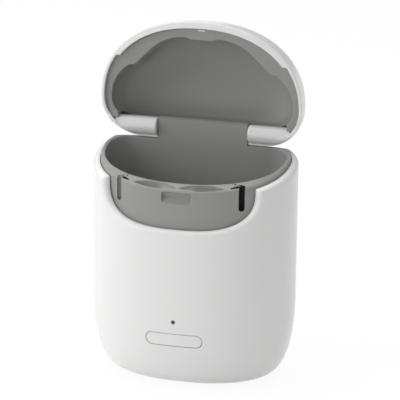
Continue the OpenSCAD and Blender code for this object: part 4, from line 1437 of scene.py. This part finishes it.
def make_stage():
    """The floor, the light and the camera."""
    bm = bmesh.new()
    bmesh.ops.create_grid(bm, x_segments=1, y_segments=1, size=FLOOR_SIZE)
    floor = rest_object("floor", bm)
    floor.data.materials.append(floor_finish())
    studio_world()
    for name, (place, size, power) in LIGHTS.items():
        area_light(name, place, size, power)
    place_camera()
    bpy.context.scene.view_settings.view_transform = "Standard"


# Operators

class CASE_OT_body_shell(bpy.types.Operator):
    """Make the glossy body shell with its scooped rim"""

    bl_idname = "case.body_shell"
    bl_label = "Body shell"

    def execute(self, context):
        make_body()
        return {"FINISHED"}


class CASE_OT_power_button(bpy.types.Operator):
    """Make the pill-shaped button set in the body's front"""

    bl_idname = "case.power_button"
    bl_label = "Power button"

    def execute(self, context):
        make_button()
        return {"FINISHED"}


class CASE_OT_tray(bpy.types.Operator):
    """Make the grey tray with its wire slots, rim pockets and hinge web"""

    bl_idname = "case.tray"
    bl_label = "Tray"

    def execute(self, context):
        make_tray()
        return {"FINISHED"}


class CASE_OT_lid_shell(bpy.types.Operator):
    """Make the glossy lid with its skirt and hinge barrels"""

    bl_idname = "case.lid_shell"
    bl_label = "Lid shell"

    def execute(self, context):
        make_lid()
        return {"FINISHED"}


class CASE_OT_lid_liner(bpy.types.Operator):
    """Make the grey lining of the lid"""

    bl_idname = "case.lid_liner"
    bl_label = "Lid liner"

    def execute(self, context):
        make_liner()
        return {"FINISHED"}


class CASE_OT_small_parts(bpy.types.Operator):
    """Give the pad, seats, contacts and inner fittings their finishes"""

    bl_idname = "case.small_parts"
    bl_label = "Small parts"

    def execute(self, context):
        dress_small_parts()
        return {"FINISHED"}


class CASE_OT_stage(bpy.types.Operator):
    """Make the floor, lights and camera"""

    bl_idname = "case.stage"
    bl_label = "Stage"

    def execute(self, context):
        make_stage()
        return {"FINISHED"}


MAKERS = [CASE_OT_body_shell, CASE_OT_power_button, CASE_OT_tray, CASE_OT_lid_shell, CASE_OT_lid_liner,
          CASE_OT_small_parts, CASE_OT_stage]


class CASE_PT_panel(bpy.types.Panel):
    """Lists the pieces of the case"""

    bl_idname = "CASE_PT_panel"
    bl_label = "Charging case"
    bl_space_type = "VIEW_3D"
    bl_region_type = "UI"
    bl_category = "Case"

    def draw(self, context):
        for item in MAKERS:
            self.layout.operator(item.bl_idname)


GROUPS = {
    "case_form": CaseForm, "case_lining": CaseLining, "case_button": CaseButton, "case_colours": CaseColours,
}


def register():
    """Adds the case's sizes, operators and panel."""
    for item in (*GROUPS.values(), *MAKERS, CASE_PT_panel):
        bpy.utils.register_class(item)
    for key, group in GROUPS.items():
        setattr(bpy.types.Scene, key, PointerProperty(type=group))


def unregister():
    """Takes them out again."""
    for key in GROUPS:
        delattr(bpy.types.Scene, key)
    for item in reversed((*GROUPS.values(), *MAKERS, CASE_PT_panel)):
        bpy.utils.unregister_class(item)


def main():
    """Makes the pieces and the stage."""
    register()
    bpy.ops.case.body_shell()
    bpy.ops.case.power_button()
    bpy.ops.case.tray()
    bpy.ops.case.lid_shell()
    bpy.ops.case.lid_liner()
    bpy.ops.case.small_parts()
    bpy.ops.case.stage()


if __name__ == "__main__":
    main()
